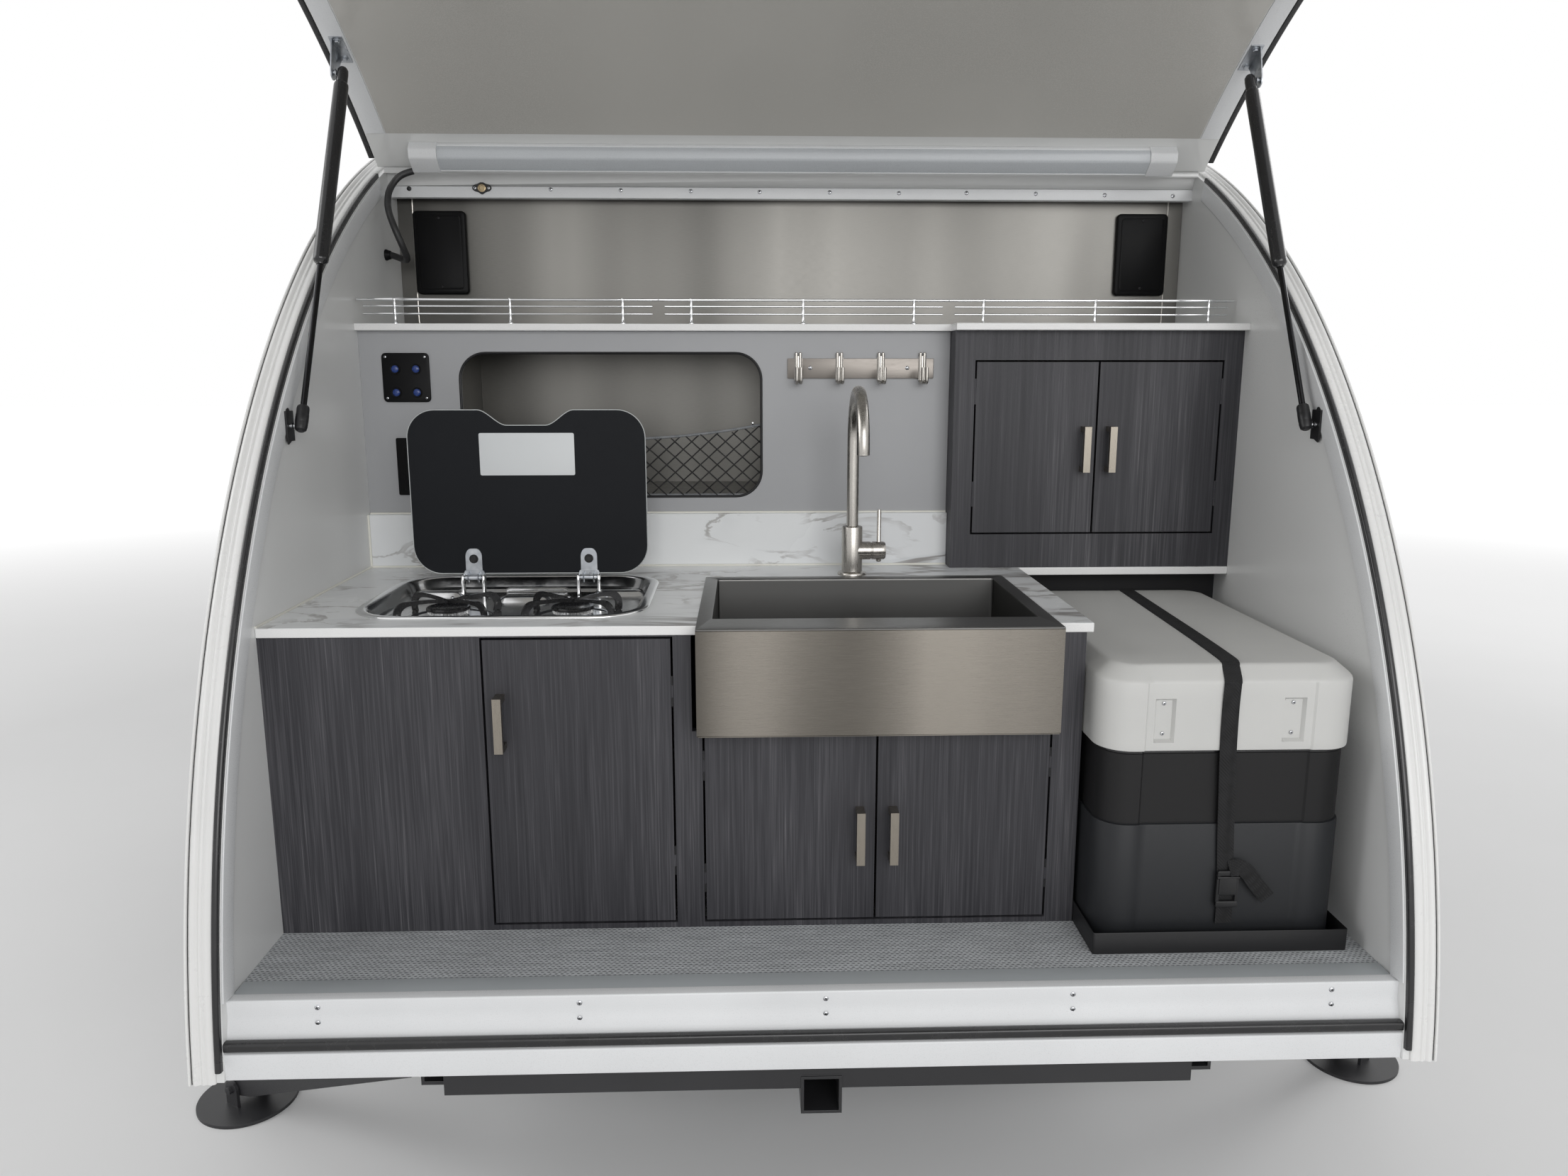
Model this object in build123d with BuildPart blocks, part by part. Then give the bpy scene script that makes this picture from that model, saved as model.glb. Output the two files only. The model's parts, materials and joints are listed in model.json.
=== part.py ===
"""Teardrop camping trailer with its rear galley hatch open.

Millimetres. X points right seen from behind, Y points forward to the coupler, Z points up.
The origin is on the ground, under the middle of the overall length and width.
Most places are first given in galley terms: behind or ahead of the cabinet face, and above the floor.
"""

from math import asin, atan2, cos, degrees, hypot, pi, radians, sin, tan

from build123d import *

import os

os.makedirs("parts", exist_ok=True)

# Places of the two galley planes in the frame of the whole trailer
FACE_Y = -1524.0  # front plane of the lower cabinets
FLOOR_Z = 470.0  # top of the galley floor above the ground

# Body width and walls
INNER_HALF = 837.5
WALL = 44.5
OUTER_HALF = INNER_HALF + WALL
ROOF_THICK = 30.0
SKIRT_Z = FLOOR_Z - 107.0
FLOOR_THICK = 57.0
UNDER_Z = FLOOR_Z - FLOOR_THICK

# Outline of the body seen from the side: four tangent arcs that meet at the peak
PEAK_Y = FACE_Y + 1513.0
PEAK_Z = FLOOR_Z + 1425.0
ROOF_R, ROOF_TURN = 1830.0, 35.2
TAIL_R, TAIL_END = 1620.0, 84.9
BROW_R, BROW_TURN = 1600.0, 48.0
NOSE_R = 800.0
NOSE_CORNER_R = 60.0

# Rear hatch
HATCH_SWING = 62.0  # opened by this much from closed
HINGE_SLOPE = 24.0  # slope of the roof at the hatch hinge
HATCH_GAP = 10.0  # inner face of the hatch above the wall's edge
HATCH_THICK = 14.0
HATCH_HALF = 848.0
HATCH_EDGE = 12.0
HATCH_END = 84.18

# Gas struts
STRUT_X = 815.0
STRUT_WALL_PIN = (FACE_Y + 178.0, FLOOR_Z + 783.0)
STRUT_SLOPE, STRUT_DROP = 32.92, 53.6  # hatch pin: slope of the roofline there, and depth under the hatch
TUBE_R, TUBE_BORE_R, TUBE_LENGTH = 12.5, 9.0, 366.0
ROD_R = 5.0
EYE_R, EYE_WIDE, PIN_R, PIN_PLAY = 10.0, 21.0, 4.0, 0.1

# Galley heights above the floor and depths ahead of the cabinet face
COUNTER_TOP = FLOOR_Z + 493.0
COUNTER_THICK = 15.0
COUNTER_UNDER = COUNTER_TOP - COUNTER_THICK
BACK_Y = FACE_Y + 538.0  # galley face of the bulkhead
PANEL = 15.0
INNER_WALL_Y = FACE_Y + 840.0
SHELF_UNDER = FLOOR_Z + 944.0
SHELF_THICK = 13.0
SHELF_TOP = SHELF_UNDER + SHELF_THICK
UPPER_Y = FACE_Y + 483.0  # face of the upper cabinet
UPPER_LEFT = 289.0
FRONT_BOARD = 18.0
GAP = 3.5
FACE_RIGHT = 415.0

# Running gear
WHEEL_Y = FACE_Y + 1150.0
TYRE_R, TYRE_WIDE, RIM_R = 345.0, 205.0, 192.0
WHEEL_X = OUTER_HALF + 30.0 + TYRE_WIDE / 2
RAIL_X, RAIL_WIDE, RAIL_TALL = 560.0, 50.0, 100.0
RAIL_TOP = UNDER_Z
RAIL_UNDER = RAIL_TOP - RAIL_TALL
COUPLER_Y = FACE_Y + 3950.0
TONGUE_ROOT_Y = FACE_Y + 2560.0
TONGUE_TIP_Y = FACE_Y + 3800.0


def block(x, y, z, mode=Mode.ADD):
    """A box between pairs of limits, inside the part being made."""
    with Locations(((x[0] + x[1]) / 2, (y[0] + y[1]) / 2, (z[0] + z[1]) / 2)):
        Box(x[1] - x[0], y[1] - y[0], z[1] - z[0], mode=mode)


def rod_between(start, end, radius, mode=Mode.ADD):
    """A round bar from one point to another, inside the part being made."""
    run = Vector(*end) - Vector(*start)
    with BuildSketch(Plane(origin=start, z_dir=run)) as disc:
        Circle(radius)
    extrude(disc.sketch, amount=run.length, mode=mode)


def write(builder, node):
    """Label a finished piece and write it under its node's name."""
    builder.part.label = node
    export_step(builder.part, f"parts/{node}.step")


# Centres of the four arcs, worked out so that neighbours share a tangent
ROOF_C = (PEAK_Y, PEAK_Z - ROOF_R)
TAIL_C = (
    ROOF_C[0] - (ROOF_R - TAIL_R) * sin(radians(ROOF_TURN)),
    ROOF_C[1] + (ROOF_R - TAIL_R) * cos(radians(ROOF_TURN)),
)
BROW_C = (PEAK_Y, PEAK_Z - BROW_R)
NOSE_C = (
    BROW_C[0] + (BROW_R - NOSE_R) * sin(radians(BROW_TURN)),
    BROW_C[1] + (BROW_R - NOSE_R) * cos(radians(BROW_TURN)),
)
NOSE_Y = NOSE_C[0] + NOSE_R


def on_tail(slope, grow=0.0):
    """Point of the rear outline where it slopes by so many degrees, moved outwards by grow."""
    centre, radius = (ROOF_C, ROOF_R) if slope <= ROOF_TURN else (TAIL_C, TAIL_R)
    reach = radius + grow
    return (centre[0] - reach * sin(radians(slope)), centre[1] + reach * cos(radians(slope)))


def tail_y(z, grow=0.0):
    """Y of the rear outline at a height within the tail arc."""
    reach = TAIL_R + grow
    return TAIL_C[0] - (reach**2 - (z - TAIL_C[1]) ** 2) ** 0.5


HINGE = on_tail(HINGE_SLOPE, HATCH_GAP + HATCH_THICK / 2)


def outline(grow, bottom, corner=NOSE_CORNER_R, mode=Mode.ADD):
    """Closed side outline of the body, moved outwards by grow and cut off flat at the bottom."""
    tail_end = on_tail(TAIL_END, grow)
    foot = (tail_end[0] - (tail_end[1] - bottom) * 0.09, bottom)
    nose_y = NOSE_Y + grow
    with BuildLine(Plane.XY) as edge:
        CenterArc(ROOF_C, ROOF_R + grow, 90, ROOF_TURN)
        CenterArc(TAIL_C, TAIL_R + grow, 90 + ROOF_TURN, TAIL_END - ROOF_TURN)
        Line(tail_end, foot)
        Line(foot, (nose_y - corner, bottom))
        CenterArc((nose_y - corner, bottom + corner), corner, 270, 90)
        Line((nose_y, bottom + corner), (nose_y, NOSE_C[1]))
        CenterArc(NOSE_C, NOSE_R + grow, 0, 90 - BROW_TURN)
        CenterArc(BROW_C, BROW_R + grow, 90 - BROW_TURN, BROW_TURN)
    make_face(edge.edges(), mode=mode)


def tail_band(inner, outer, start, end, plane, shift=(0.0, 0.0)):
    """Band along the rear outline between two slopes and two distances from it, as a face."""
    with BuildSketch(plane) as band:
        with BuildLine():
            for grow in (inner, outer):
                roof = (ROOF_C[0] - shift[0], ROOF_C[1] - shift[1])
                tail = (TAIL_C[0] - shift[0], TAIL_C[1] - shift[1])
                CenterArc(roof, ROOF_R + grow, 90 + start, ROOF_TURN - start)
                CenterArc(tail, TAIL_R + grow, 90 + ROOF_TURN, end - ROOF_TURN)
            for slope in (start, end):
                near, far = on_tail(slope, inner), on_tail(slope, outer)
                Line((near[0] - shift[0], near[1] - shift[1]), (far[0] - shift[0], far[1] - shift[1]))
        make_face()
    return band.sketch


# Side walls with their door openings
DOOR_Y = (FACE_Y + 1640.0, FACE_Y + 2330.0)
DOOR_Z = (FLOOR_Z + 25.0, FLOOR_Z + 1125.0)
DOOR_CORNER_R = 90.0
DOOR_GAP = 5.0
DOOR_MID = ((DOOR_Y[0] + DOOR_Y[1]) / 2, (DOOR_Z[0] + DOOR_Z[1]) / 2)
DOOR_SIZE = (DOOR_Y[1] - DOOR_Y[0], DOOR_Z[1] - DOOR_Z[0])
PANE_MID = (DOOR_MID[0], DOOR_Z[0] + 760.0)
PANE_SIZE = (430.0, 420.0)
PANE_CORNER_R = 60.0

for side, name in ((-1, "left"), (1, "right")):
    low_x = INNER_HALF if side > 0 else -OUTER_HALF
    with BuildPart() as wall:
        with BuildSketch(Plane.YZ.offset(low_x)):
            outline(0, SKIRT_Z)
            with Locations(DOOR_MID):
                RectangleRounded(*DOOR_SIZE, DOOR_CORNER_R, mode=Mode.SUBTRACT)
        extrude(amount=WALL)
    write(wall, f"wall_{name}")

# Roof and nose: one bent panel between the walls, open for the front window, with the roof vent
ROOF_END_SLOPE = HINGE_SLOPE - 0.35
ROOF_END = on_tail(ROOF_END_SLOPE)
VENT_Y, VENT_SIZE, VENT_CORNER_R, VENT_TALL = PEAK_Y + 120.0, 400.0, 60.0, 55.0
WINDOW_TURN, WINDOW_SPAN, WINDOW_WIDE = 66.0, 20.0, 1120.0

with BuildPart() as roof:
    with BuildSketch(Plane.YZ.offset(-INNER_HALF)):
        outline(0, UNDER_Z, 1.0)
        with BuildLine():
            inner_end = on_tail(TAIL_END, -ROOF_THICK)
            CenterArc(ROOF_C, ROOF_R - ROOF_THICK, 90, ROOF_TURN)
            CenterArc(TAIL_C, TAIL_R - ROOF_THICK, 90 + ROOF_TURN, TAIL_END - ROOF_TURN)
            Line(inner_end, (inner_end[0], UNDER_Z - 1))
            Line((inner_end[0], UNDER_Z - 1), (NOSE_Y - ROOF_THICK, UNDER_Z - 1))
            Line((NOSE_Y - ROOF_THICK, UNDER_Z - 1), (NOSE_Y - ROOF_THICK, NOSE_C[1]))
            CenterArc(NOSE_C, NOSE_R - ROOF_THICK, 0, 90 - BROW_TURN)
            CenterArc(BROW_C, BROW_R - ROOF_THICK, 90 - BROW_TURN, BROW_TURN)
        make_face(mode=Mode.SUBTRACT)
    extrude(amount=2 * INNER_HALF)
    # The galley stays open behind the hinge line, cut square to the roof
    cut_plane = Plane(
        origin=(0, ROOF_END[0], ROOF_END[1]),
        x_dir=(1, 0, 0),
        z_dir=(0, -cos(radians(ROOF_END_SLOPE)), -sin(radians(ROOF_END_SLOPE))),
    )
    with BuildSketch(cut_plane):
        with Locations((0, 300)):
            Rectangle(2 * INNER_HALF + 20, 4000)
    extrude(amount=2500, mode=Mode.SUBTRACT)
    # Front window opening, square through the nose
    window_dir = (0, sin(radians(WINDOW_TURN)), cos(radians(WINDOW_TURN)))
    window_tall = 2 * NOSE_R * sin(radians(WINDOW_SPAN / 2)) + 60
    window_plane = Plane(
        origin=(0, NOSE_C[0], NOSE_C[1]),
        x_dir=(1, 0, 0),
        z_dir=window_dir,
    )
    with BuildSketch(window_plane):
        RectangleRounded(WINDOW_WIDE, window_tall, 50)
    extrude(amount=NOSE_R + 100, mode=Mode.SUBTRACT)

# Roof vent: a low dome on a square collar through the roof
with BuildPart() as vent:
    with BuildSketch(Plane.XY.offset(PEAK_Z - 25)):
        with Locations((0, VENT_Y)):
            RectangleRounded(VENT_SIZE, VENT_SIZE, VENT_CORNER_R)
    extrude(amount=25 + VENT_TALL * 0.5)
    with BuildSketch(Plane.XY.offset(PEAK_Z + VENT_TALL * 0.5)):
        with Locations((0, VENT_Y)):
            RectangleRounded(VENT_SIZE + 20, VENT_SIZE + 20, VENT_CORNER_R)
    extrude(amount=VENT_TALL * 0.5, taper=35)
    with BuildSketch(Plane.YZ.offset(-VENT_SIZE)):
        with BuildLine():
            CenterArc(ROOF_C, ROOF_R - 5, 90, 12)
            first = on_tail(12, -5)
            Line(first, (first[0], PEAK_Z - 200))
            lean = radians(14)
            nose_side = (BROW_C[0] + (BROW_R - 5) * sin(lean), BROW_C[1] + (BROW_R - 5) * cos(lean))
            Line((first[0], PEAK_Z - 200), (nose_side[0], PEAK_Z - 200))
            Line((nose_side[0], PEAK_Z - 200), nose_side)
            CenterArc(BROW_C, BROW_R - 5, 76, 14)
        make_face()
    extrude(amount=2 * VENT_SIZE, mode=Mode.SUBTRACT)

# Hinge rail on the roof: a low profile whose groove holds the hatch's rolled end
with BuildPart() as rail:
    with BuildSketch(Plane.YZ.offset(-INNER_HALF)):
        low, high = -1.0, HATCH_GAP + HATCH_THICK / 2 + 3
        with BuildLine():
            CenterArc(ROOF_C, ROOF_R + low, 90 + HINGE_SLOPE - 1.9, 2.0)
            CenterArc(ROOF_C, ROOF_R + high, 90 + HINGE_SLOPE - 0.9, 1.0)
            rear_low = on_tail(HINGE_SLOPE + 0.1, low)
            rear_high = on_tail(HINGE_SLOPE + 0.1, high)
            front_low = on_tail(HINGE_SLOPE - 1.9, low)
            front_high = on_tail(HINGE_SLOPE - 0.9, high)
            Line(rear_low, rear_high)
            Line(front_low, front_high)
        make_face()
        with Locations(HINGE):
            Circle(HATCH_THICK / 2 + 0.6, mode=Mode.SUBTRACT)
        with BuildLine():
            far_low = on_tail(HINGE_SLOPE + 3, HATCH_GAP - 3)
            far_high = on_tail(HINGE_SLOPE + 3, high + 30)
            top = on_tail(HINGE_SLOPE + 0.02, high + 30)
            bottom = on_tail(HINGE_SLOPE + 0.02, HATCH_GAP - 3)
            Polyline(bottom, far_low, far_high, top, close=True)
        make_face(mode=Mode.SUBTRACT)
    extrude(amount=2 * INNER_HALF)

# The roof carries its vent and the hinge rail in one piece
with BuildPart() as roof_top:
    add(roof.part)
    add(vent.part)
    add(rail.part)
write(roof_top, "roof")

# Front window: a curved pane in its frame, in line with the nose
with BuildPart() as window:
    with BuildSketch(Plane.YZ.offset(-WINDOW_WIDE / 2 - 30)):
        with BuildLine():
            for reach in (NOSE_R - 20, NOSE_R - 12):
                CenterArc(NOSE_C, reach, 90 - WINDOW_TURN - 20, 40)
            for turn in (90 - WINDOW_TURN - 20, 90 - WINDOW_TURN + 20):
                Line(
                    (
                        NOSE_C[0] + (NOSE_R - 20) * cos(radians(turn)),
                        NOSE_C[1] + (NOSE_R - 20) * sin(radians(turn)),
                    ),
                    (
                        NOSE_C[0] + (NOSE_R - 12) * cos(radians(turn)),
                        NOSE_C[1] + (NOSE_R - 12) * sin(radians(turn)),
                    ),
                )
        make_face()
    extrude(amount=WINDOW_WIDE + 60)
    with BuildSketch(window_plane):
        RectangleRounded(WINDOW_WIDE, window_tall, 50)
    extrude(amount=NOSE_R + 100, mode=Mode.INTERSECT)
write(window, "front_window")

# Floor between the walls, from the sill to the nose
SILL_Y = FACE_Y - 192.0
with BuildPart() as floor:
    block((-INNER_HALF, INNER_HALF), (SILL_Y, NOSE_Y - ROOF_THICK), (UNDER_Z, FLOOR_Z))
write(floor, "floor")

# Edge trims: a flat cap with four ribs and a leg down the outside of each wall
TRIM_IN, TRIM_CAP, TRIM_LEG, TRIM_LEG_TALL = 848.0, 3.0, 3.5, 26.0
TRIM_OUT = OUTER_HALF + TRIM_LEG
RIB_X, RIB_WIDE, RIB_TALL = (850.5, 859.5, 868.5, 877.5), 6.0, 4.0

with BuildPart() as trim:
    for side in (-1, 1):
        # Each band: inner and outer distance from the outline, and its limits across
        bands = [(0.0, TRIM_CAP, TRIM_IN, TRIM_OUT), (-TRIM_LEG_TALL, TRIM_CAP, OUTER_HALF, TRIM_OUT)]
        bands += [(TRIM_CAP, TRIM_CAP + RIB_TALL, x, x + RIB_WIDE) for x in RIB_X]
        for inner, outer, near, far in bands:
            with BuildSketch(Plane.YZ.offset(near if side > 0 else -far)):
                outline(outer, SKIRT_Z, NOSE_CORNER_R + outer)
                outline(inner, SKIRT_Z - 1, NOSE_CORNER_R + inner, Mode.SUBTRACT)
            extrude(amount=far - near)
write(trim, "edge_trim")

# Seal round the galley opening: one strip on each wall's edge and one along the sill
SEAL_X, SEAL_TALL = (838.5, 847.5), 8.0
SEAL_END = 82.2
with BuildPart() as seal:
    for side in (-1, 1):
        low_x = SEAL_X[0] if side > 0 else -SEAL_X[1]
        strip = tail_band(0, SEAL_TALL, HINGE_SLOPE + 1.2, SEAL_END, Plane.YZ.offset(low_x))
        extrude(strip, amount=SEAL_X[1] - SEAL_X[0])
    block((-INNER_HALF, INNER_HALF), (FACE_Y - 219, FACE_Y - 205), (FLOOR_Z - 65, FLOOR_Z - 51))
write(seal, "body_seal")

# Opening frame: header under the hinge, a return strip on each wall, and the stepped sill
HEADER_Y = FACE_Y + 790.0
HEADER_Z = FLOOR_Z + 1221.0
RETURN_DEEP, RETURN_THICK = 34.0, 3.0
with BuildPart() as frame:
    with BuildSketch(Plane.YZ.offset(-INNER_HALF)):
        with BuildLine():
            Polyline(
                (HEADER_Y, HEADER_Z),
                (HEADER_Y + 22, HEADER_Z),
                (HEADER_Y + 22, FLOOR_Z + 1252.4),
                (HEADER_Y, FLOOR_Z + 1242.8),
                close=True,
            )
        make_face()
    extrude(amount=2 * INNER_HALF)
    with BuildSketch(Plane.YZ.offset(-INNER_HALF)):
        with BuildLine():
            Polyline(
                (SILL_Y, FLOOR_Z),
                (SILL_Y - 4, FLOOR_Z),
                (SILL_Y - 4, FLOOR_Z - 24),
                (SILL_Y - 12, FLOOR_Z - 48),
                (SILL_Y - 13, FLOOR_Z - 66),
                (SILL_Y - 26, FLOOR_Z - 68),
                (SILL_Y - 26, SKIRT_Z),
                (SILL_Y - 22, SKIRT_Z),
                (SILL_Y, UNDER_Z),
                close=True,
            )
        make_face()
    extrude(amount=2 * INNER_HALF)
    for side in (-1, 1):
        low_x = INNER_HALF - RETURN_THICK if side > 0 else -INNER_HALF
        strip = tail_band(-RETURN_DEEP, -0.5, HINGE_SLOPE + 1.6, 81.5, Plane.YZ.offset(low_x))
        extrude(strip, amount=RETURN_THICK)
write(frame, "opening_frame")

# Fenders: an arch of bent plate over each wheel, with a rolled outer lip
FENDER_R, FENDER_THICK, FENDER_X, LIP_TALL = 400.0, 5.0, 1132.0, 22.0
with BuildPart() as fenders:
    for side in (-1, 1):
        # Each ring: inner radius, outer radius and limits across
        rings = [(FENDER_R - FENDER_THICK, FENDER_R, OUTER_HALF, FENDER_X)]
        rings += [(FENDER_R - LIP_TALL, FENDER_R, FENDER_X - FENDER_THICK, FENDER_X)]
        rings += [(FENDER_R - LIP_TALL, FENDER_R, OUTER_HALF, OUTER_HALF + FENDER_THICK)]
        for inner, outer, near, far in rings:
            with BuildSketch(Plane.YZ.offset(near if side > 0 else -far)):
                with BuildLine():
                    CenterArc((WHEEL_Y, TYRE_R), outer, 6, 168)
                    CenterArc((WHEEL_Y, TYRE_R), inner, 6, 168)
                    for turn in (radians(6), radians(174)):
                        Line(
                            (WHEEL_Y + inner * cos(turn), TYRE_R + inner * sin(turn)),
                            (WHEEL_Y + outer * cos(turn), TYRE_R + outer * sin(turn)),
                        )
                make_face()
            extrude(amount=far - near)
write(fenders, "fenders")

# Chassis: side rails, cross members, A-frame tongue and rear receiver tube
CROSS_Y = (FACE_Y - 165.0, FACE_Y + 560.0, FACE_Y + 1330.0, FACE_Y + 2590.0)
CARRIER_Y, CARRIER_WIDE = (FACE_Y + 2980.0, FACE_Y + 3240.0), (366.0, 256.0)  # rear and front edge
RECEIVER, RECEIVER_LOW = 60.0, FLOOR_Z - 197.0
RECEIVER_Y = FACE_Y - 192.0
HITCH_PIN_R, HITCH_PIN_IN = 8.1, 75.0
STAB_BASES = ((-1, -600.0, FACE_Y - 20.0), (1, 640.0, FACE_Y + 40.0))  # side, x, y of each stabiliser base
STAB_PIN_Z = RAIL_UNDER - 30.0
STAB_PIN_R, STAB_HALF, STAB_PLAY = 7.0, 26.0, 2.0
FOOT_SHIFT = (445.0, 276.0)  # from base pin to pad centre, outwards and forwards
with BuildPart() as chassis:
    for side in (-1, 1):
        rail_mid = side * RAIL_X
        block(
            (rail_mid - RAIL_WIDE / 2, rail_mid + RAIL_WIDE / 2),
            (CROSS_Y[0], CROSS_Y[-1] + 25),
            (RAIL_UNDER, RAIL_TOP),
        )
        # Open side of the channel faces the middle
        open_x = sorted((rail_mid + side * (RAIL_WIDE / 2 - 5), rail_mid - side * RAIL_WIDE / 2))
        block(open_x, (CROSS_Y[0], CROSS_Y[-1] + 25), (RAIL_UNDER + 6, RAIL_TOP - 6), mode=Mode.SUBTRACT)
        with BuildSketch(Plane.XY.offset(RAIL_UNDER)):
            with BuildLine():
                Polyline(
                    (side * (RAIL_X + RAIL_WIDE / 2), TONGUE_ROOT_Y),
                    (side * (RAIL_X - RAIL_WIDE / 2), TONGUE_ROOT_Y),
                    (side * 12, TONGUE_TIP_Y),
                    (side * 66, TONGUE_TIP_Y),
                    close=True,
                )
            make_face()
        extrude(amount=RAIL_TALL)
    for y in CROSS_Y:
        block((-RAIL_X + 15, RAIL_X - 15), (y - 25, y + 25), (RAIL_UNDER, RAIL_TOP))
    block((-12.5, 12.5), (TONGUE_TIP_Y - 160, TONGUE_TIP_Y), (RAIL_UNDER, RAIL_TOP))
    block((-66, 66), (TONGUE_TIP_Y - 60, TONGUE_TIP_Y), (RAIL_UNDER, RAIL_TOP))
    # Plate between the tongue beams that carries the gas cylinder
    with BuildSketch(Plane.XY.offset(RAIL_TOP - 6)):
        with BuildLine():
            Polyline(
                (-CARRIER_WIDE[0], CARRIER_Y[0]),
                (CARRIER_WIDE[0], CARRIER_Y[0]),
                (CARRIER_WIDE[1], CARRIER_Y[1]),
                (-CARRIER_WIDE[1], CARRIER_Y[1]),
                close=True,
            )
        make_face()
    extrude(amount=6)
    receiver_z = (RECEIVER_LOW, RECEIVER_LOW + RECEIVER)
    block((-RECEIVER / 2, RECEIVER / 2), (RECEIVER_Y, CROSS_Y[1]), receiver_z)
    bore = RECEIVER / 2 - 4.6
    mid_z = (receiver_z[0] + receiver_z[1]) / 2
    block((-bore, bore), (RECEIVER_Y - 1, FACE_Y + 200), (mid_z - bore, mid_z + bore), mode=Mode.SUBTRACT)
    with BuildSketch(Plane.YZ.offset(-RECEIVER)):
        with Locations((RECEIVER_Y + HITCH_PIN_IN, mid_z)):
            Circle(HITCH_PIN_R)
    extrude(amount=2 * RECEIVER, mode=Mode.SUBTRACT)
    # Brackets that carry the stabiliser legs under the rails
    for side, x, y in STAB_BASES:
        plate_x = sorted((side * RAIL_X, x + side * 45))
        block(plate_x, (y - 45, y + 45), (RAIL_UNDER - 6, RAIL_UNDER))
        heading = Vector(side * FOOT_SHIFT[0], FOOT_SHIFT[1], 0).normalized()
        across = Vector(0, 0, 1).cross(heading)
        pin_plane = Plane(origin=(x, y, STAB_PIN_Z), x_dir=heading, z_dir=across)
        up = 1 if pin_plane.y_dir.Z > 0 else -1
        lug_tall = RAIL_UNDER - 5 - STAB_PIN_Z
        for start in (STAB_HALF + STAB_PLAY, -STAB_HALF - STAB_PLAY - 5):
            with BuildSketch(pin_plane.offset(start)):
                Circle(14)
                with Locations((0, up * lug_tall / 2)):
                    Rectangle(28, lug_tall)
            extrude(amount=5)
        with BuildSketch(pin_plane.offset(-STAB_HALF - 10)):
            Circle(STAB_PIN_R)
        extrude(amount=2 * STAB_HALF + 20)
write(chassis, "chassis")

# Axle: square torsion tube under the rails, trailing arms and spindles
SPINDLE_Z = TYRE_R
BEAM, BEAM_Y = 70.0, WHEEL_Y + 150.0
BEAM_Z = RAIL_UNDER - BEAM / 2
ARM_X, ARM_WIDE = OUTER_HALF + 15.0, 18.0
with BuildPart() as axle:
    block(
        (-ARM_X - ARM_WIDE / 2, ARM_X + ARM_WIDE / 2),
        (BEAM_Y - BEAM / 2, BEAM_Y + BEAM / 2),
        (BEAM_Z - BEAM / 2, RAIL_UNDER),
    )
    for side in (-1, 1):
        arm_x = side * ARM_X
        with BuildSketch(Plane.YZ.offset(arm_x - ARM_WIDE / 2)):
            with BuildLine():
                lift = atan2(SPINDLE_Z - BEAM_Z, WHEEL_Y - BEAM_Y)
                for (y, z), radius, start in (
                    ((BEAM_Y, BEAM_Z), 42.0, degrees(lift) - 90 + 180),
                    ((WHEEL_Y, SPINDLE_Z), 32.0, degrees(lift) - 90),
                ):
                    CenterArc((y, z), radius, start, 180)
                ends = [
                    (
                        (BEAM_Y + 42 * cos(lift + turn), BEAM_Z + 42 * sin(lift + turn)),
                        (WHEEL_Y + 32 * cos(lift + turn), SPINDLE_Z + 32 * sin(lift + turn)),
                    )
                    for turn in (radians(90), radians(-90))
                ]
                for start, end in ends:
                    Line(start, end)
            make_face()
        extrude(amount=ARM_WIDE)
        inner, outer = sorted((arm_x, side * (WHEEL_X + 45)))
        with BuildSketch(Plane.YZ.offset(inner)):
            with Locations((WHEEL_Y, SPINDLE_Z)):
                Circle(19)
        extrude(amount=outer - inner)
write(axle, "axle")

# Wheels: a tyre with rounded shoulders and a rim with five spokes turning on the spindle
HUB_R, HUB_BORE_R = 44.0, 19.08
BEAD_HALF = 85.0
for side, name in ((-1, "left"), (1, "right")):
    with BuildPart() as tyre:
        with BuildSketch(Plane.XZ):
            half = TYRE_WIDE / 2
            with BuildLine():
                Polyline(
                    (-BEAD_HALF, RIM_R),
                    (-BEAD_HALF, RIM_R + 16),
                    (-half, RIM_R + 52),
                    (-half, TYRE_R - 34),
                    (-half + 20, TYRE_R),
                    (half - 20, TYRE_R),
                    (half, TYRE_R - 34),
                    (half, RIM_R + 52),
                    (BEAD_HALF, RIM_R + 16),
                    (BEAD_HALF, RIM_R),
                    close=True,
                )
            make_face()
            levels = vertices().group_by(Axis.Y)
            fillet(levels[2] + levels[3] + levels[4], 18)
        revolve(axis=Axis.X)
    tyre.part = tyre.part.moved(Location((side * WHEEL_X, WHEEL_Y, SPINDLE_Z)))
    write(tyre, f"tyre_{name}")
    with BuildPart() as rim:
        # Barrel with flanges, seen in section from the wheel's centre line outwards
        with BuildSketch(Plane.XZ):
            with BuildLine():
                Polyline(
                    (-95, RIM_R + 12),
                    (-88, RIM_R + 12),
                    (-BEAD_HALF, RIM_R),
                    (BEAD_HALF, RIM_R),
                    (88, RIM_R + 12),
                    (95, RIM_R + 12),
                    (93, RIM_R - 7),
                    (55, RIM_R - 22),
                    (-93, RIM_R - 22),
                    close=True,
                )
            make_face()
        revolve(axis=Axis.X)
        hub_x = (20, 58)
        with BuildSketch(Plane.YZ.offset(hub_x[0])):
            Circle(HUB_R + 26)
            Circle(HUB_BORE_R, mode=Mode.SUBTRACT)
        extrude(amount=hub_x[1] - hub_x[0])
        with BuildSketch(Plane.YZ.offset(hub_x[0] + 10)):
            with PolarLocations(HUB_R + 60, 5):
                Trapezoid(82, 90, 80, rotation=90)
            with PolarLocations(RIM_R - 46, 5):
                Rectangle(60, 60)
        extrude(amount=18)
    spin = Location((side * WHEEL_X, WHEEL_Y, SPINDLE_Z), (0, 0, 0 if side > 0 else 180))
    rim.part = rim.part.moved(spin)
    write(rim, f"rim_{name}")

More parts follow.
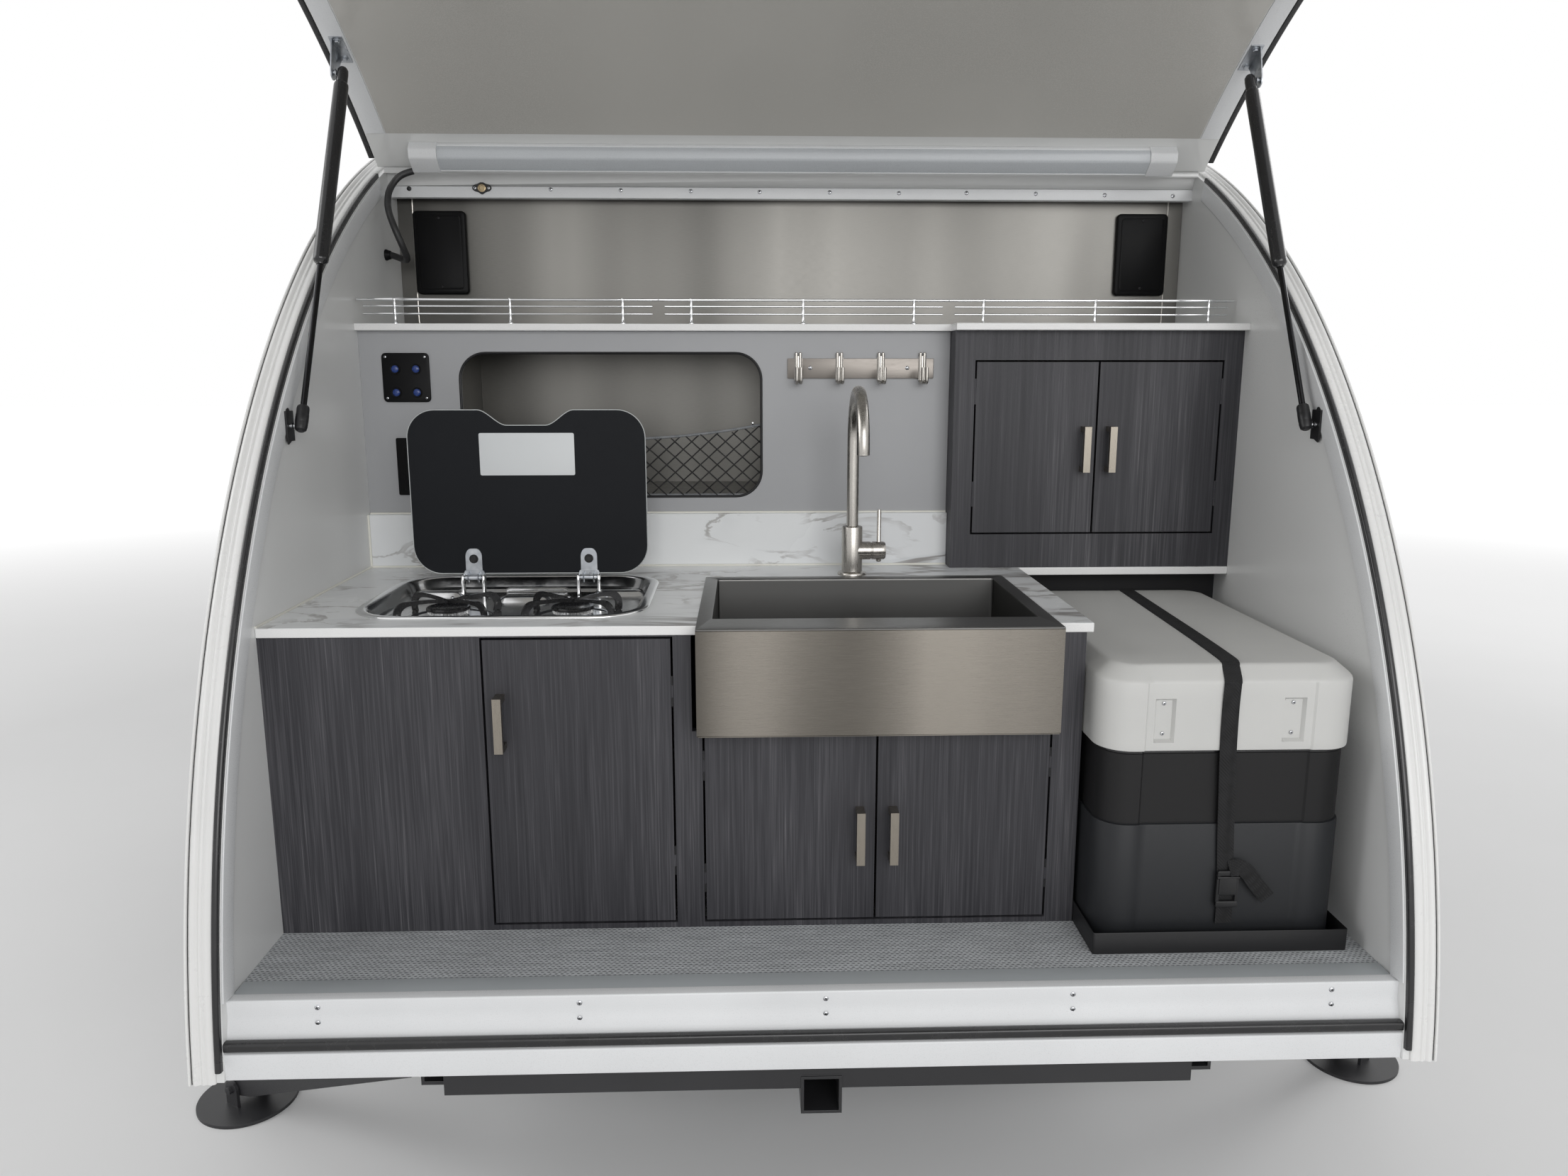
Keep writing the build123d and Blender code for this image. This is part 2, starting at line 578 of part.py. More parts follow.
# Coupler: ball socket with its latch, and the tongue jack with its foot
with BuildPart() as coupler:
    with BuildSketch(Plane.XY.offset(RAIL_TOP)):
        with BuildLine():
            Line((-66, TONGUE_TIP_Y - 130), (66, TONGUE_TIP_Y - 130))
            Line((66, TONGUE_TIP_Y - 130), (34, COUPLER_Y - 34))
            ThreePointArc((34, COUPLER_Y - 34), (0, COUPLER_Y), (-34, COUPLER_Y - 34))
            Line((-34, COUPLER_Y - 34), (-66, TONGUE_TIP_Y - 130))
        make_face()
    extrude(amount=62)
    fillet(coupler.edges().filter_by(Axis.Z, reverse=True).group_by(Axis.Z)[-1], 12)
    with Locations((0, COUPLER_Y - 40, RAIL_TOP + 4)):
        Sphere(26, mode=Mode.SUBTRACT)
    block((-20, 20), (COUPLER_Y - 110, COUPLER_Y - 70), (RAIL_TOP + 61, RAIL_TOP + 84))
    block((-14, 14), (COUPLER_Y - 190, COUPLER_Y - 80), (RAIL_TOP + 76, RAIL_TOP + 84))
write(coupler, "coupler")

JACK_Y, JACK_R = TONGUE_TIP_Y - 190.0, 28.0
with BuildPart() as jack:
    with BuildSketch(Plane.XY.offset(RAIL_UNDER - 80)):
        with Locations((0, JACK_Y)):
            Circle(JACK_R)
    extrude(amount=560)
    with BuildSketch(Plane.XY.offset(6)):
        with Locations((0, JACK_Y)):
            Circle(22)
    extrude(amount=RAIL_UNDER - 80)
    with BuildSketch(Plane.XY):
        with Locations((0, JACK_Y)):
            Circle(80)
    extrude(amount=8, taper=20)
    with BuildSketch(Plane.XY.offset(RAIL_TOP)):
        with Locations((0, JACK_Y)):
            Circle(55)
    extrude(amount=10)
    rod_between((0, JACK_Y, RAIL_UNDER + 440), (0, JACK_Y - 80, RAIL_UNDER + 440), 8)
    rod_between((0, JACK_Y - 80, RAIL_UNDER + 440), (110, JACK_Y - 80, RAIL_UNDER + 440), 8)
    rod_between((110, JACK_Y - 72, RAIL_UNDER + 440), (110, JACK_Y - 180, RAIL_UNDER + 440), 12)
write(jack, "tongue_jack")

# Gas cylinder on the tongue, in front of the nose
CYLINDER_Y, CYLINDER_R, CYLINDER_TALL = FACE_Y + 3110.0, 155.0, 300.0
with BuildPart() as cylinder:
    with BuildSketch(Plane.XZ):
        with BuildLine():
            base = RAIL_TOP
            Polyline((0, base + 20), (110, base + 20), (110, base), (116, base), (118, base + 30))
            ThreePointArc((118, base + 30), (146, base + 50), (CYLINDER_R, base + 90))
            Line((CYLINDER_R, base + 90), (CYLINDER_R, base + 90 + 180))
            ThreePointArc((CYLINDER_R, base + 270), (120, base + 330), (40, base + 350))
            Line((40, base + 350), (0, base + 350))
            Line((0, base + 350), (0, base + 20))
        make_face()
    revolve(axis=Axis.Z)
    with BuildSketch(Plane.XY.offset(RAIL_TOP + 60)):
        Circle(CYLINDER_R - 12)
    extrude(amount=230, mode=Mode.SUBTRACT)
    with BuildSketch(Plane.XY.offset(RAIL_TOP + 310)):
        Circle(102)
        Circle(98, mode=Mode.SUBTRACT)
    extrude(amount=130)
    with BuildSketch(Plane.XY.offset(RAIL_TOP + 340)):
        Circle(22)
    extrude(amount=60)
    with BuildSketch(Plane.XY.offset(RAIL_TOP + 400)):
        Circle(34)
    extrude(amount=18)
cylinder.part = cylinder.part.moved(Location((0, CYLINDER_Y, 0)))
write(cylinder, "gas_cylinder")

# Stabilisers: a channel leg on a pin under each rear corner, with a clevis and a round pad
PAD_R, PAD_TALL, PAD_PIN_Z = 88.0, 6.0, 38.0
LEG_REACH = 524.0
for (side, x, y), name in zip(STAB_BASES, ("left", "right")):
    foot_dx, foot_dy = side * FOOT_SHIFT[0], FOOT_SHIFT[1]
    drop = STAB_PIN_Z - PAD_PIN_Z
    heading = Vector(foot_dx, foot_dy, 0).normalized()
    across = Vector(0, 0, 1).cross(heading)
    foot = Vector(x + foot_dx, y + foot_dy, 0)
    with BuildPart() as leg:
        # Seen from the side: a tapered channel from the pin down to the clevis
        slope = atan2(-drop, LEG_REACH)
        length = hypot(drop, LEG_REACH)
        leg_dir = Vector(heading.X * cos(slope), heading.Y * cos(slope), sin(slope))
        leg_plane = Plane(origin=(x, y, STAB_PIN_Z), x_dir=leg_dir, z_dir=-across)
        with BuildSketch(leg_plane.offset(-STAB_HALF)):
            with BuildLine():
                Polyline((-16, -15), (60, -34), (length - 40, -22), (length + 14, -12),
                         (length + 14, 12), (length - 40, 16), (-16, 15), close=True)
            make_face()
        extrude(amount=2 * STAB_HALF)
        with BuildSketch(leg_plane.offset(-STAB_HALF - 1)):
            Circle(STAB_PIN_R + 0.08)
        extrude(amount=2 * STAB_HALF + 2, mode=Mode.SUBTRACT)
        with BuildSketch(leg_plane.offset(-22)):
            with BuildLine():
                Polyline((20, -40), (length - 20, -40), (length - 20, 10), (20, 10), close=True)
            make_face()
        extrude(amount=44, mode=Mode.SUBTRACT)
        with BuildSketch(Plane.XY):
            with Locations((foot.X, foot.Y)):
                Circle(PAD_R)
        extrude(amount=PAD_TALL)
        for shift in (-1, 1):
            lug = foot + across * (shift * 30)
            lug_plane = Plane(
                origin=(lug.X, lug.Y, PAD_PIN_Z), x_dir=heading, z_dir=across
            )
            with BuildSketch(lug_plane.offset(-3)):
                Circle(16)
                with Locations((0, (PAD_TALL - PAD_PIN_Z) / 2 * (1 if lug_plane.y_dir.Z > 0 else -1))):
                    Rectangle(32, PAD_PIN_Z - PAD_TALL)
            extrude(amount=6)
        start = foot + across * -40
        end = foot + across * 40
        rod_between((start.X, start.Y, PAD_PIN_Z), (end.X, end.Y, PAD_PIN_Z), 7)
    write(leg, f"stabiliser_{name}")

# Side doors: a slab in each opening with its window cut, a latch boss, hinge leaves, and the pane
KNUCKLE_R, KNUCKLE_PIN_R, KNUCKLE_TALL, LEAF = 8.0, 4.0, 30.0, 3.0
DOOR_AXIS_Y = DOOR_Y[1] + 4.0
DOOR_HINGES = (DOOR_Z[0] + 190.0, DOOR_Z[0] + 900.0)
for side, name in ((-1, "left"), (1, "right")):
    low_x = INNER_HALF if side > 0 else -OUTER_HALF
    with BuildPart() as door:
        with BuildSketch(Plane.YZ.offset(low_x)):
            with Locations(DOOR_MID):
                RectangleRounded(
                    DOOR_SIZE[0] - 2 * DOOR_GAP, DOOR_SIZE[1] - 2 * DOOR_GAP, DOOR_CORNER_R - DOOR_GAP
                )
            with Locations(PANE_MID):
                RectangleRounded(*PANE_SIZE, PANE_CORNER_R, mode=Mode.SUBTRACT)
        extrude(amount=WALL)
        near, far = sorted((side * OUTER_HALF, side * (OUTER_HALF + 12)))
        block((near, far), (DOOR_Y[0] + 30, DOOR_Y[0] + 130), (DOOR_Z[0] + 430, DOOR_Z[0] + 500))
        for z in DOOR_HINGES:
            leaf_x = sorted((side * OUTER_HALF, side * (OUTER_HALF + LEAF)))
            block(leaf_x, (DOOR_AXIS_Y - 45, DOOR_AXIS_Y), (z, z + KNUCKLE_TALL))
            with BuildSketch(Plane.XY.offset(z)):
                with Locations((side * (OUTER_HALF + KNUCKLE_R), DOOR_AXIS_Y)):
                    Circle(KNUCKLE_R)
            extrude(amount=KNUCKLE_TALL)
            with BuildSketch(Plane.XY.offset(z - 1)):
                with Locations((side * (OUTER_HALF + KNUCKLE_R), DOOR_AXIS_Y)):
                    Circle(KNUCKLE_PIN_R + 0.06)
            extrude(amount=KNUCKLE_TALL + 2, mode=Mode.SUBTRACT)
    write(door, f"door_{name}")
    with BuildPart() as pane:
        with BuildSketch(Plane.YZ.offset(side * (OUTER_HALF - 12) - 2.5)):
            with Locations(PANE_MID):
                RectangleRounded(*PANE_SIZE, PANE_CORNER_R)
        extrude(amount=5)
    write(pane, f"door_glass_{name}")

# Hatch: a curved shell, drawn closed in the hinge's own frame and standing opened
hatch_plane = Plane(
    origin=(0, HINGE[0], HINGE[1]),
    x_dir=(0, cos(radians(HATCH_SWING)), -sin(radians(HATCH_SWING))),
    z_dir=(1, 0, 0),
)


def opened(point):
    """Where a closed point of the hatch, as (y, z), stands with the hatch opened."""
    y, z = point[0] - HINGE[0], point[1] - HINGE[1]
    turn = radians(HATCH_SWING)
    return (HINGE[0] + y * cos(turn) + z * sin(turn), HINGE[1] - y * sin(turn) + z * cos(turn))


STRUT_HATCH_PIN = opened(on_tail(STRUT_SLOPE, HATCH_GAP - STRUT_DROP))


HATCH_START = HINGE_SLOPE
with BuildPart() as hatch:
    start_plane = hatch_plane.offset(-HATCH_HALF)
    shell = tail_band(HATCH_GAP, HATCH_GAP + HATCH_THICK, HATCH_START, HATCH_END, start_plane, HINGE)
    extrude(shell, amount=2 * HATCH_HALF)
    with BuildSketch(start_plane):
        Circle(HATCH_THICK / 2)
    extrude(amount=2 * HATCH_HALF)
write(hatch, "hatch")

with BuildPart() as hatch_edge:
    for near, far in ((-HATCH_HALF - HATCH_EDGE, -HATCH_HALF), (HATCH_HALF, HATCH_HALF + HATCH_EDGE)):
        side_plane = hatch_plane.offset(near)
        edge_high = HATCH_GAP + HATCH_THICK + 2
        strip = tail_band(HATCH_GAP, edge_high, HATCH_START + 0.6, HATCH_END, side_plane, HINGE)
        extrude(strip, amount=far - near)
write(hatch_edge, "hatch_edge")

# Tail lamps: round lenses on the hatch's outer face
LAMP_SLOPE, LAMP_X, LAMP_R = 76.0, 700.0, 52.0
with BuildPart() as lamps:
    seat = on_tail(LAMP_SLOPE, HATCH_GAP + HATCH_THICK)
    seat_open = opened(seat)
    lean = radians(LAMP_SLOPE - HATCH_SWING)
    for side in (-1, 1):
        lamp_plane = Plane(
            origin=(side * LAMP_X, seat_open[0], seat_open[1]),
            x_dir=(1, 0, 0),
            z_dir=(0, -sin(lean), cos(lean)),
        )
        with BuildSketch(lamp_plane):
            Circle(LAMP_R + 6)
        extrude(amount=12)
        with BuildSketch(lamp_plane.offset(12)):
            Circle(LAMP_R)
        extrude(amount=14, taper=30)
write(lamps, "tail_lamps")

def strut_axis():
    """Unit vector, as (y, z), from the wall pin to the hatch pin, and the distance."""
    dy = STRUT_HATCH_PIN[0] - STRUT_WALL_PIN[0]
    dz = STRUT_HATCH_PIN[1] - STRUT_WALL_PIN[1]
    span = hypot(dy, dz)
    return (dy / span, dz / span), span


(AXIS_Y, AXIS_Z), STRUT_SPAN = strut_axis()


def along_strut(distance, x):
    """Point on a strut's centre line, so far from its wall pin."""
    return (x, STRUT_WALL_PIN[0] + AXIS_Y * distance, STRUT_WALL_PIN[1] + AXIS_Z * distance)


# Gas struts: the tube hangs from the hatch, the rod stands on the wall pin
EYE_NECK = 22.0
TUBE_END = STRUT_SPAN - EYE_NECK - TUBE_LENGTH
ROD_INSIDE = 30.0
for side, name in ((-1, "left"), (1, "right")):
    x = side * STRUT_X
    with BuildPart() as tube:
        rod_between(along_strut(TUBE_END, x), along_strut(STRUT_SPAN - EYE_NECK, x), TUBE_R)
        bore_start, bore_end = TUBE_END + 10, STRUT_SPAN - EYE_NECK - 12
        rod_between(along_strut(bore_start, x), along_strut(bore_end, x), TUBE_BORE_R, Mode.SUBTRACT)
        rod_between(along_strut(TUBE_END - 1, x), along_strut(TUBE_END + 11, x), ROD_R + 0.1, Mode.SUBTRACT)
        rod_between(along_strut(STRUT_SPAN - EYE_NECK - 1, x), along_strut(STRUT_SPAN, x), EYE_R * 0.8)
        with BuildSketch(Plane.YZ.offset(x - EYE_WIDE / 2)):
            with Locations(STRUT_HATCH_PIN):
                Circle(EYE_R)
        extrude(amount=EYE_WIDE)
        with BuildSketch(Plane.YZ.offset(x - EYE_WIDE)):
            with Locations(STRUT_HATCH_PIN):
                Circle(PIN_R + PIN_PLAY)
        extrude(amount=2 * EYE_WIDE, mode=Mode.SUBTRACT)
    write(tube, f"strut_tube_{name}")
    with BuildPart() as rod:
        rod_between(along_strut(0, x), along_strut(TUBE_END + ROD_INSIDE, x), ROD_R)
        with BuildSketch(Plane.YZ.offset(x - EYE_WIDE / 2)):
            with Locations(STRUT_WALL_PIN):
                Circle(EYE_R)
        extrude(amount=EYE_WIDE)
    write(rod, f"strut_rod_{name}")

# Strut brackets: zinc plates with studs, one pair under the hatch and one pair on the walls
STUD_GAP = 0.5
PLATE_X = (INNER_HALF - 7.0, INNER_HALF - 4.0)
with BuildPart() as hatch_brackets:
    pin = STRUT_HATCH_PIN
    # Feet of the plates on the hatch's inner face, each side of the pin
    corners = [opened(on_tail(STRUT_SLOPE + shift, HATCH_GAP)) for shift in (-1.0, 1.0)]
    for side in (-1, 1):
        low_x = PLATE_X[0] if side > 0 else -PLATE_X[1]
        with BuildSketch(Plane.YZ.offset(low_x)):
            with BuildLine():
                Polyline(
                    corners[0],
                    corners[1],
                    (pin[0] - 12, pin[1] + 4),
                    (pin[0] - 8, pin[1] - 9),
                    (pin[0] + 8, pin[1] - 9),
                    (pin[0] + 12, pin[1] + 4),
                    close=True,
                )
            make_face()
        extrude(amount=PLATE_X[1] - PLATE_X[0])
        stud = sorted((side * PLATE_X[0], side * (STRUT_X - EYE_WIDE / 2 + 1)))
        with BuildSketch(Plane.YZ.offset(stud[0])):
            with Locations(pin):
                Circle(PIN_R)
        extrude(amount=stud[1] - stud[0])
write(hatch_brackets, "hatch_brackets")

with BuildPart() as wall_brackets:
    for side in (-1, 1):
        pin = STRUT_WALL_PIN
        plate = sorted((side * (INNER_HALF - RETURN_THICK), side * (INNER_HALF - RETURN_THICK - 3)))
        block(plate, (pin[0] - 14, pin[0] + 14), (pin[1] - 24, pin[1] + 24))
        stud = sorted((side * (INNER_HALF - RETURN_THICK), side * (STRUT_X + EYE_WIDE / 2 + STUD_GAP)))
        with BuildSketch(Plane.YZ.offset(stud[0])):
            with Locations(pin):
                Circle(PIN_R)
        extrude(amount=stud[1] - stud[0])
        # Wall leaf of each door hinge: two knuckles and the pin through the door's knuckle
        for z in DOOR_HINGES:
            leaf_x = sorted((side * OUTER_HALF, side * (OUTER_HALF + LEAF)))
            block(leaf_x, (DOOR_Y[1] + 1, DOOR_AXIS_Y + 45), (z - 21, z + KNUCKLE_TALL + 21))
            leaf_y = (DOOR_Y[1], DOOR_AXIS_Y + KNUCKLE_R + 2)
            block(leaf_x, leaf_y, (z - 1, z + KNUCKLE_TALL + 1), mode=Mode.SUBTRACT)
            for low in (z - 21, z + KNUCKLE_TALL + 1):
                with BuildSketch(Plane.XY.offset(low)):
                    with Locations((side * (OUTER_HALF + KNUCKLE_R), DOOR_AXIS_Y)):
                        Circle(KNUCKLE_R)
                extrude(amount=20)
            with BuildSketch(Plane.XY.offset(z - 20)):
                with Locations((side * (OUTER_HALF + KNUCKLE_R), DOOR_AXIS_Y)):
                    Circle(KNUCKLE_PIN_R)
            extrude(amount=KNUCKLE_TALL + 40)
write(wall_brackets, "wall_brackets")

# Light bar on the hatch, close to the hinge: a slim diffuser between two end caps
BAR_HALF, BAR_CAP = 768.0, 55.0
BAR_START, BAR_WIDE, BAR_DEEP = 14.0, 46.0, 30.0
with BuildPart() as light_bar:
    inner_r = ROOF_R + HATCH_GAP
    mid_turn = HINGE_SLOPE + degrees((BAR_START + BAR_WIDE / 2) / inner_r)
    middle = on_tail(mid_turn, HATCH_GAP)
    along = (-cos(radians(mid_turn)), -sin(radians(mid_turn)))
    inward = (sin(radians(mid_turn)), -cos(radians(mid_turn)))
    # Each length: overhang beyond the diffuser's section, and its limits across
    for extra, near, far in (
        (0.0, -BAR_HALF + 10, BAR_HALF - 10),
        (2.0, -BAR_HALF, -BAR_HALF + BAR_CAP),
        (2.0, BAR_HALF - BAR_CAP, BAR_HALF),
    ):
        half = BAR_WIDE / 2 + extra
        section = []
        for step, depth in ((-half, 0.3), (half, 0.3), (half, BAR_DEEP * 0.55), (half - 12, BAR_DEEP + extra),
                            (-half, BAR_DEEP + extra)):
            point = (
                middle[0] + along[0] * step + inward[0] * depth - HINGE[0],
                middle[1] + along[1] * step + inward[1] * depth - HINGE[1],
            )
            section.append(point)
        with BuildSketch(hatch_plane.offset(near)):
            with BuildLine():
                Polyline(*section, close=True)
            make_face()
        extrude(amount=far - near)
write(light_bar, "light_bar")

# Cable from the bar's left cap round to the grommet in the left wall
CABLE_R = 6.5
CABLE_ROUTE = [
    (-770.2, FACE_Y + 737, FLOOR_Z + 1263.7),
    (-790, FACE_Y + 735, FLOOR_Z + 1259),
    (-807, FACE_Y + 732, FLOOR_Z + 1245),
    (-818, FACE_Y + 722, FLOOR_Z + 1222),
    (-816, FACE_Y + 704, FLOOR_Z + 1198),
    (-808, FACE_Y + 681, FLOOR_Z + 1180),
    (-798, FACE_Y + 662, FLOOR_Z + 1161),
    (-788, FACE_Y + 657, FLOOR_Z + 1136),
    (-781, FACE_Y + 664, FLOOR_Z + 1114),
    (-779, FACE_Y + 680, FLOOR_Z + 1098),
    (-782, FACE_Y + 700, FLOOR_Z + 1090),
    (-792, FACE_Y + 720, FLOOR_Z + 1089),
    (-807, FACE_Y + 734, FLOOR_Z + 1095),
    (-826.5, FACE_Y + 740, FLOOR_Z + 1101.5),
]
points = [Vector(*point) for point in CABLE_ROUTE]
radii = []
for before, corner, after in zip(points, points[1:], points[2:]):
    turn = (corner - before).get_angle(after - corner)
    shorter = min((corner - before).length, (after - corner).length)
    radii.append(min(0.45 * shorter / tan(radians(turn) / 2), 400))
print("cable radii", [round(radius) for radius in radii])
with BuildPart() as cable:
    with BuildLine() as route:
        FilletPolyline(*points, radius=radii)
    with BuildSketch(Plane(origin=points[0], z_dir=points[1] - points[0])):
        Circle(CABLE_R)
    sweep(path=route.line)
write(cable, "bar_cable")

# Lower and upper cabinets: face boards with door openings, sides, bottoms and dividers
# Door table: name, left, right, bottom, top, face, pull x, pull z, hinge side
DOORS = (
    ("cabinet_door", -504.0, -221.0, FLOOR_Z + 12, FLOOR_Z + 472, FACE_Y, -480.0, FLOOR_Z + 345, 1),
    ("sink_door_left", -171.0, 94.5, FLOOR_Z + 12, FLOOR_Z + 322, FACE_Y, 70.0, FLOOR_Z + 157, -1),
    ("sink_door_right", 98.0, 366.0, FLOOR_Z + 12, FLOOR_Z + 322, FACE_Y, 122.0, FLOOR_Z + 157, 1),
    ("upper_door_left", 331.0, 562.0, FLOOR_Z + 562, FLOOR_Z + 886, UPPER_Y, 540.0, FLOOR_Z + 723, -1),
    ("upper_door_right", 566.0, 799.0, FLOOR_Z + 562, FLOOR_Z + 886, UPPER_Y, 589.0, FLOOR_Z + 723, 1),
)
# Butt hinges in the gap beside each door: knuckle radius, pin radius, and heights of the knuckles
BUTT_R, BUTT_PIN_R, BUTT_MID, BUTT_END = 1.7, 1.0, 20.0, 14.0


def butt_hinges(door):
    """Hinge axis x, wall direction and the two hinge heights of a row of the door table."""
    _, left, right, low, high, face, _, _, side = door
    edge = right if side > 0 else left
    return edge + side * GAP / 2, edge, (low + 0.2 * (high - low), low + 0.8 * (high - low))


with BuildPart() as cabinets:
    block((-INNER_HALF, FACE_RIGHT), (FACE_Y, FACE_Y + FRONT_BOARD), (FLOOR_Z, COUNTER_UNDER))
    # Upright boards from front to back; the two inner ones stay below hob pan and basin
    for x, top in (
        (-INNER_HALF, COUNTER_UNDER),
        (-504 - GAP - PANEL, COUNTER_UNDER - 30),
        (-206.0, COUNTER_UNDER - 30),
        (FACE_RIGHT - PANEL, COUNTER_UNDER),
    ):
        block((x, x + PANEL), (FACE_Y, BACK_Y), (FLOOR_Z, top))
    block((UPPER_LEFT, INNER_HALF), (UPPER_Y, UPPER_Y + FRONT_BOARD), (COUNTER_TOP + 0.3, SHELF_UNDER))
    block((UPPER_LEFT, UPPER_LEFT + PANEL), (UPPER_Y, INNER_WALL_Y), (COUNTER_TOP + 0.3, SHELF_UNDER))
    block((UPPER_LEFT, INNER_HALF), (UPPER_Y, INNER_WALL_Y), (COUNTER_TOP + 0.3, COUNTER_TOP + PANEL))
    for _, left, right, low, high, face, _, _, _ in DOORS:
        board_y = (face - 1, face + FRONT_BOARD + 1)
        block((left - GAP, right + GAP), board_y, (low - GAP, high + GAP), mode=Mode.SUBTRACT)
    for door in DOORS:
        axis_x, edge, heights = butt_hinges(door)
        face, side = door[5], door[8]
        for z in heights:
            for low, high in ((z - BUTT_END, z), (z + BUTT_MID, z + BUTT_MID + BUTT_END)):
                rod_between((axis_x, face, low), (axis_x, face, high), BUTT_R)
                leaf_x = sorted((axis_x, axis_x + side * (GAP / 2 + 1)))
                block(leaf_x, (face, face + BUTT_R), (low, high))
            rod_between((axis_x, face, z - 1), (axis_x, face, z + BUTT_MID + 1), BUTT_PIN_R)
    # The apron sink hangs in front of the board between the stiles
    board_y = (FACE_Y - 1, FACE_Y + FRONT_BOARD + 1)
    block((-190, 379), board_y, (FLOOR_Z + 325.5, COUNTER_UNDER + 1), mode=Mode.SUBTRACT)
write(cabinets, "cabinets")

PULL_TALL, PULL_WIDE, PULL_OUT, PULL_BAR, PULL_SPAN = 86.0, 13.0, 30.0, 9.0, 76.0
for row in DOORS:
    name, left, right, low, high, face, pull_x, pull_z, side = row
    axis_x, edge, heights = butt_hinges(row)
    with BuildPart() as door:
        block((left, right), (face, face + FRONT_BOARD), (low, high))
        for z in heights:
            rod_between((axis_x, face, z + 0.5), (axis_x, face, z + BUTT_MID - 0.5), BUTT_R)
            block(sorted((axis_x, edge - side)), (face, face + BUTT_R), (z + 0.5, z + BUTT_MID - 0.5))
            rod_between((axis_x, face, z), (axis_x, face, z + BUTT_MID), BUTT_PIN_R + 0.06, Mode.SUBTRACT)
        block(
            (pull_x - PULL_WIDE / 2, pull_x + PULL_WIDE / 2),
            (face - PULL_OUT, face - PULL_OUT + PULL_BAR),
            (pull_z - PULL_TALL / 2, pull_z + PULL_TALL / 2),
        )
        for end in (-1, 1):
            post = pull_z + end * PULL_SPAN / 2
            pull_x_range = (pull_x - PULL_WIDE / 2, pull_x + PULL_WIDE / 2)
            block(pull_x_range, (face - PULL_OUT + 1, face), (post - 5, post + 5))
    write(door, name)

# Countertop with sink and hob cut-outs, bridging strip over the cooler niche, and backsplash
COUNTER_RIGHT = 425.0
SINK_X, SINK_Y = (-181.0, 370.0), (FACE_Y - 43.0, FACE_Y + 385.0)
BASIN_X, BASIN_Y = (-158.0, 347.0), (FACE_Y + 30.0, FACE_Y + 355.0)
HOB_X, HOB_HALF, HOB_Y = -498.0, 235.0, (FACE_Y + 53.0, FACE_Y + 421.0)
SPLASH_TOP = FLOOR_Z + 596.0
with BuildPart() as counter:
    block((-INNER_HALF, COUNTER_RIGHT), (FACE_Y - 3, BACK_Y), (COUNTER_UNDER, COUNTER_TOP))
    block((COUNTER_RIGHT - 1, INNER_HALF), (UPPER_Y - 3, BACK_Y), (COUNTER_UNDER, COUNTER_TOP))
    block(
        (SINK_X[0] + 10, SINK_X[1] - 10),
        (FACE_Y - 4, SINK_Y[1] - 10),
        (COUNTER_UNDER - 1, COUNTER_TOP + 1),
        mode=Mode.SUBTRACT,
    )
    with BuildSketch(Plane.XY.offset(COUNTER_UNDER - 1)):
        with Locations((HOB_X, (HOB_Y[0] + HOB_Y[1]) / 2)):
            RectangleRounded(2 * HOB_HALF - 24, HOB_Y[1] - HOB_Y[0] - 24, 78)
    extrude(amount=COUNTER_THICK + 2, mode=Mode.SUBTRACT)
    block((-INNER_HALF, UPPER_LEFT), (BACK_Y - PANEL, BACK_Y), (COUNTER_TOP, SPLASH_TOP))
write(counter, "countertop")

# Bulkhead with its rounded pass-through opening
PASS_X, PASS_Z, PASS_R = (-650.0, -75.0), (FLOOR_Z + 628.0, FLOOR_Z + 903.0), 50.0
with BuildPart() as bulkhead:
    with BuildSketch(Plane.XZ.offset(-BACK_Y - PANEL)):
        with BuildLine():
            Polyline(
                (-INNER_HALF, FLOOR_Z),
                (INNER_HALF, FLOOR_Z),
                (INNER_HALF, COUNTER_TOP),
                (UPPER_LEFT, COUNTER_TOP),
                (UPPER_LEFT, SHELF_UNDER),
                (-INNER_HALF, SHELF_UNDER),
                close=True,
            )
        make_face()
        with Locations(((PASS_X[0] + PASS_X[1]) / 2, (PASS_Z[0] + PASS_Z[1]) / 2)):
            RectangleRounded(PASS_X[1] - PASS_X[0], PASS_Z[1] - PASS_Z[0], PASS_R, mode=Mode.SUBTRACT)
    extrude(amount=PANEL)
write(bulkhead, "bulkhead")

# Inner wall between galley and cabin, with the cubby's sides and bottom behind the bulkhead
CUBBY_X = (-680.0, -45.0)
with BuildPart() as inner_wall:
    wall_top = FLOOR_Z + 1258.0
    block((-INNER_HALF, INNER_HALF), (INNER_WALL_Y, INNER_WALL_Y + PANEL), (FLOOR_Z, wall_top))
    for x in (CUBBY_X[0] - PANEL, CUBBY_X[1]):
        block((x, x + PANEL), (BACK_Y + PANEL, INNER_WALL_Y), (PASS_Z[0] - PANEL, SHELF_UNDER))
    block(
        (CUBBY_X[0] - PANEL, CUBBY_X[1] + PANEL),
        (BACK_Y + PANEL, INNER_WALL_Y),
        (PASS_Z[0] - PANEL, PASS_Z[0]),
    )
write(inner_wall, "inner_wall")

# Shelf over the galley, deeper at the right where it covers the upper cabinet
SHELF_Y = (FACE_Y + 520.0, FACE_Y + 460.0)
with BuildPart() as shelf:
    with BuildSketch(Plane.XY.offset(SHELF_UNDER)):
        with BuildLine():
            Polyline(
                (-INNER_HALF, INNER_WALL_Y),
                (-INNER_HALF, SHELF_Y[0]),
                (UPPER_LEFT - 3, SHELF_Y[0]),
                (UPPER_LEFT - 3, SHELF_Y[1]),
                (INNER_HALF, SHELF_Y[1]),
                (INNER_HALF, INNER_WALL_Y),
                close=True,
            )
        make_face()
    extrude(amount=SHELF_THICK)
write(shelf, "shelf")

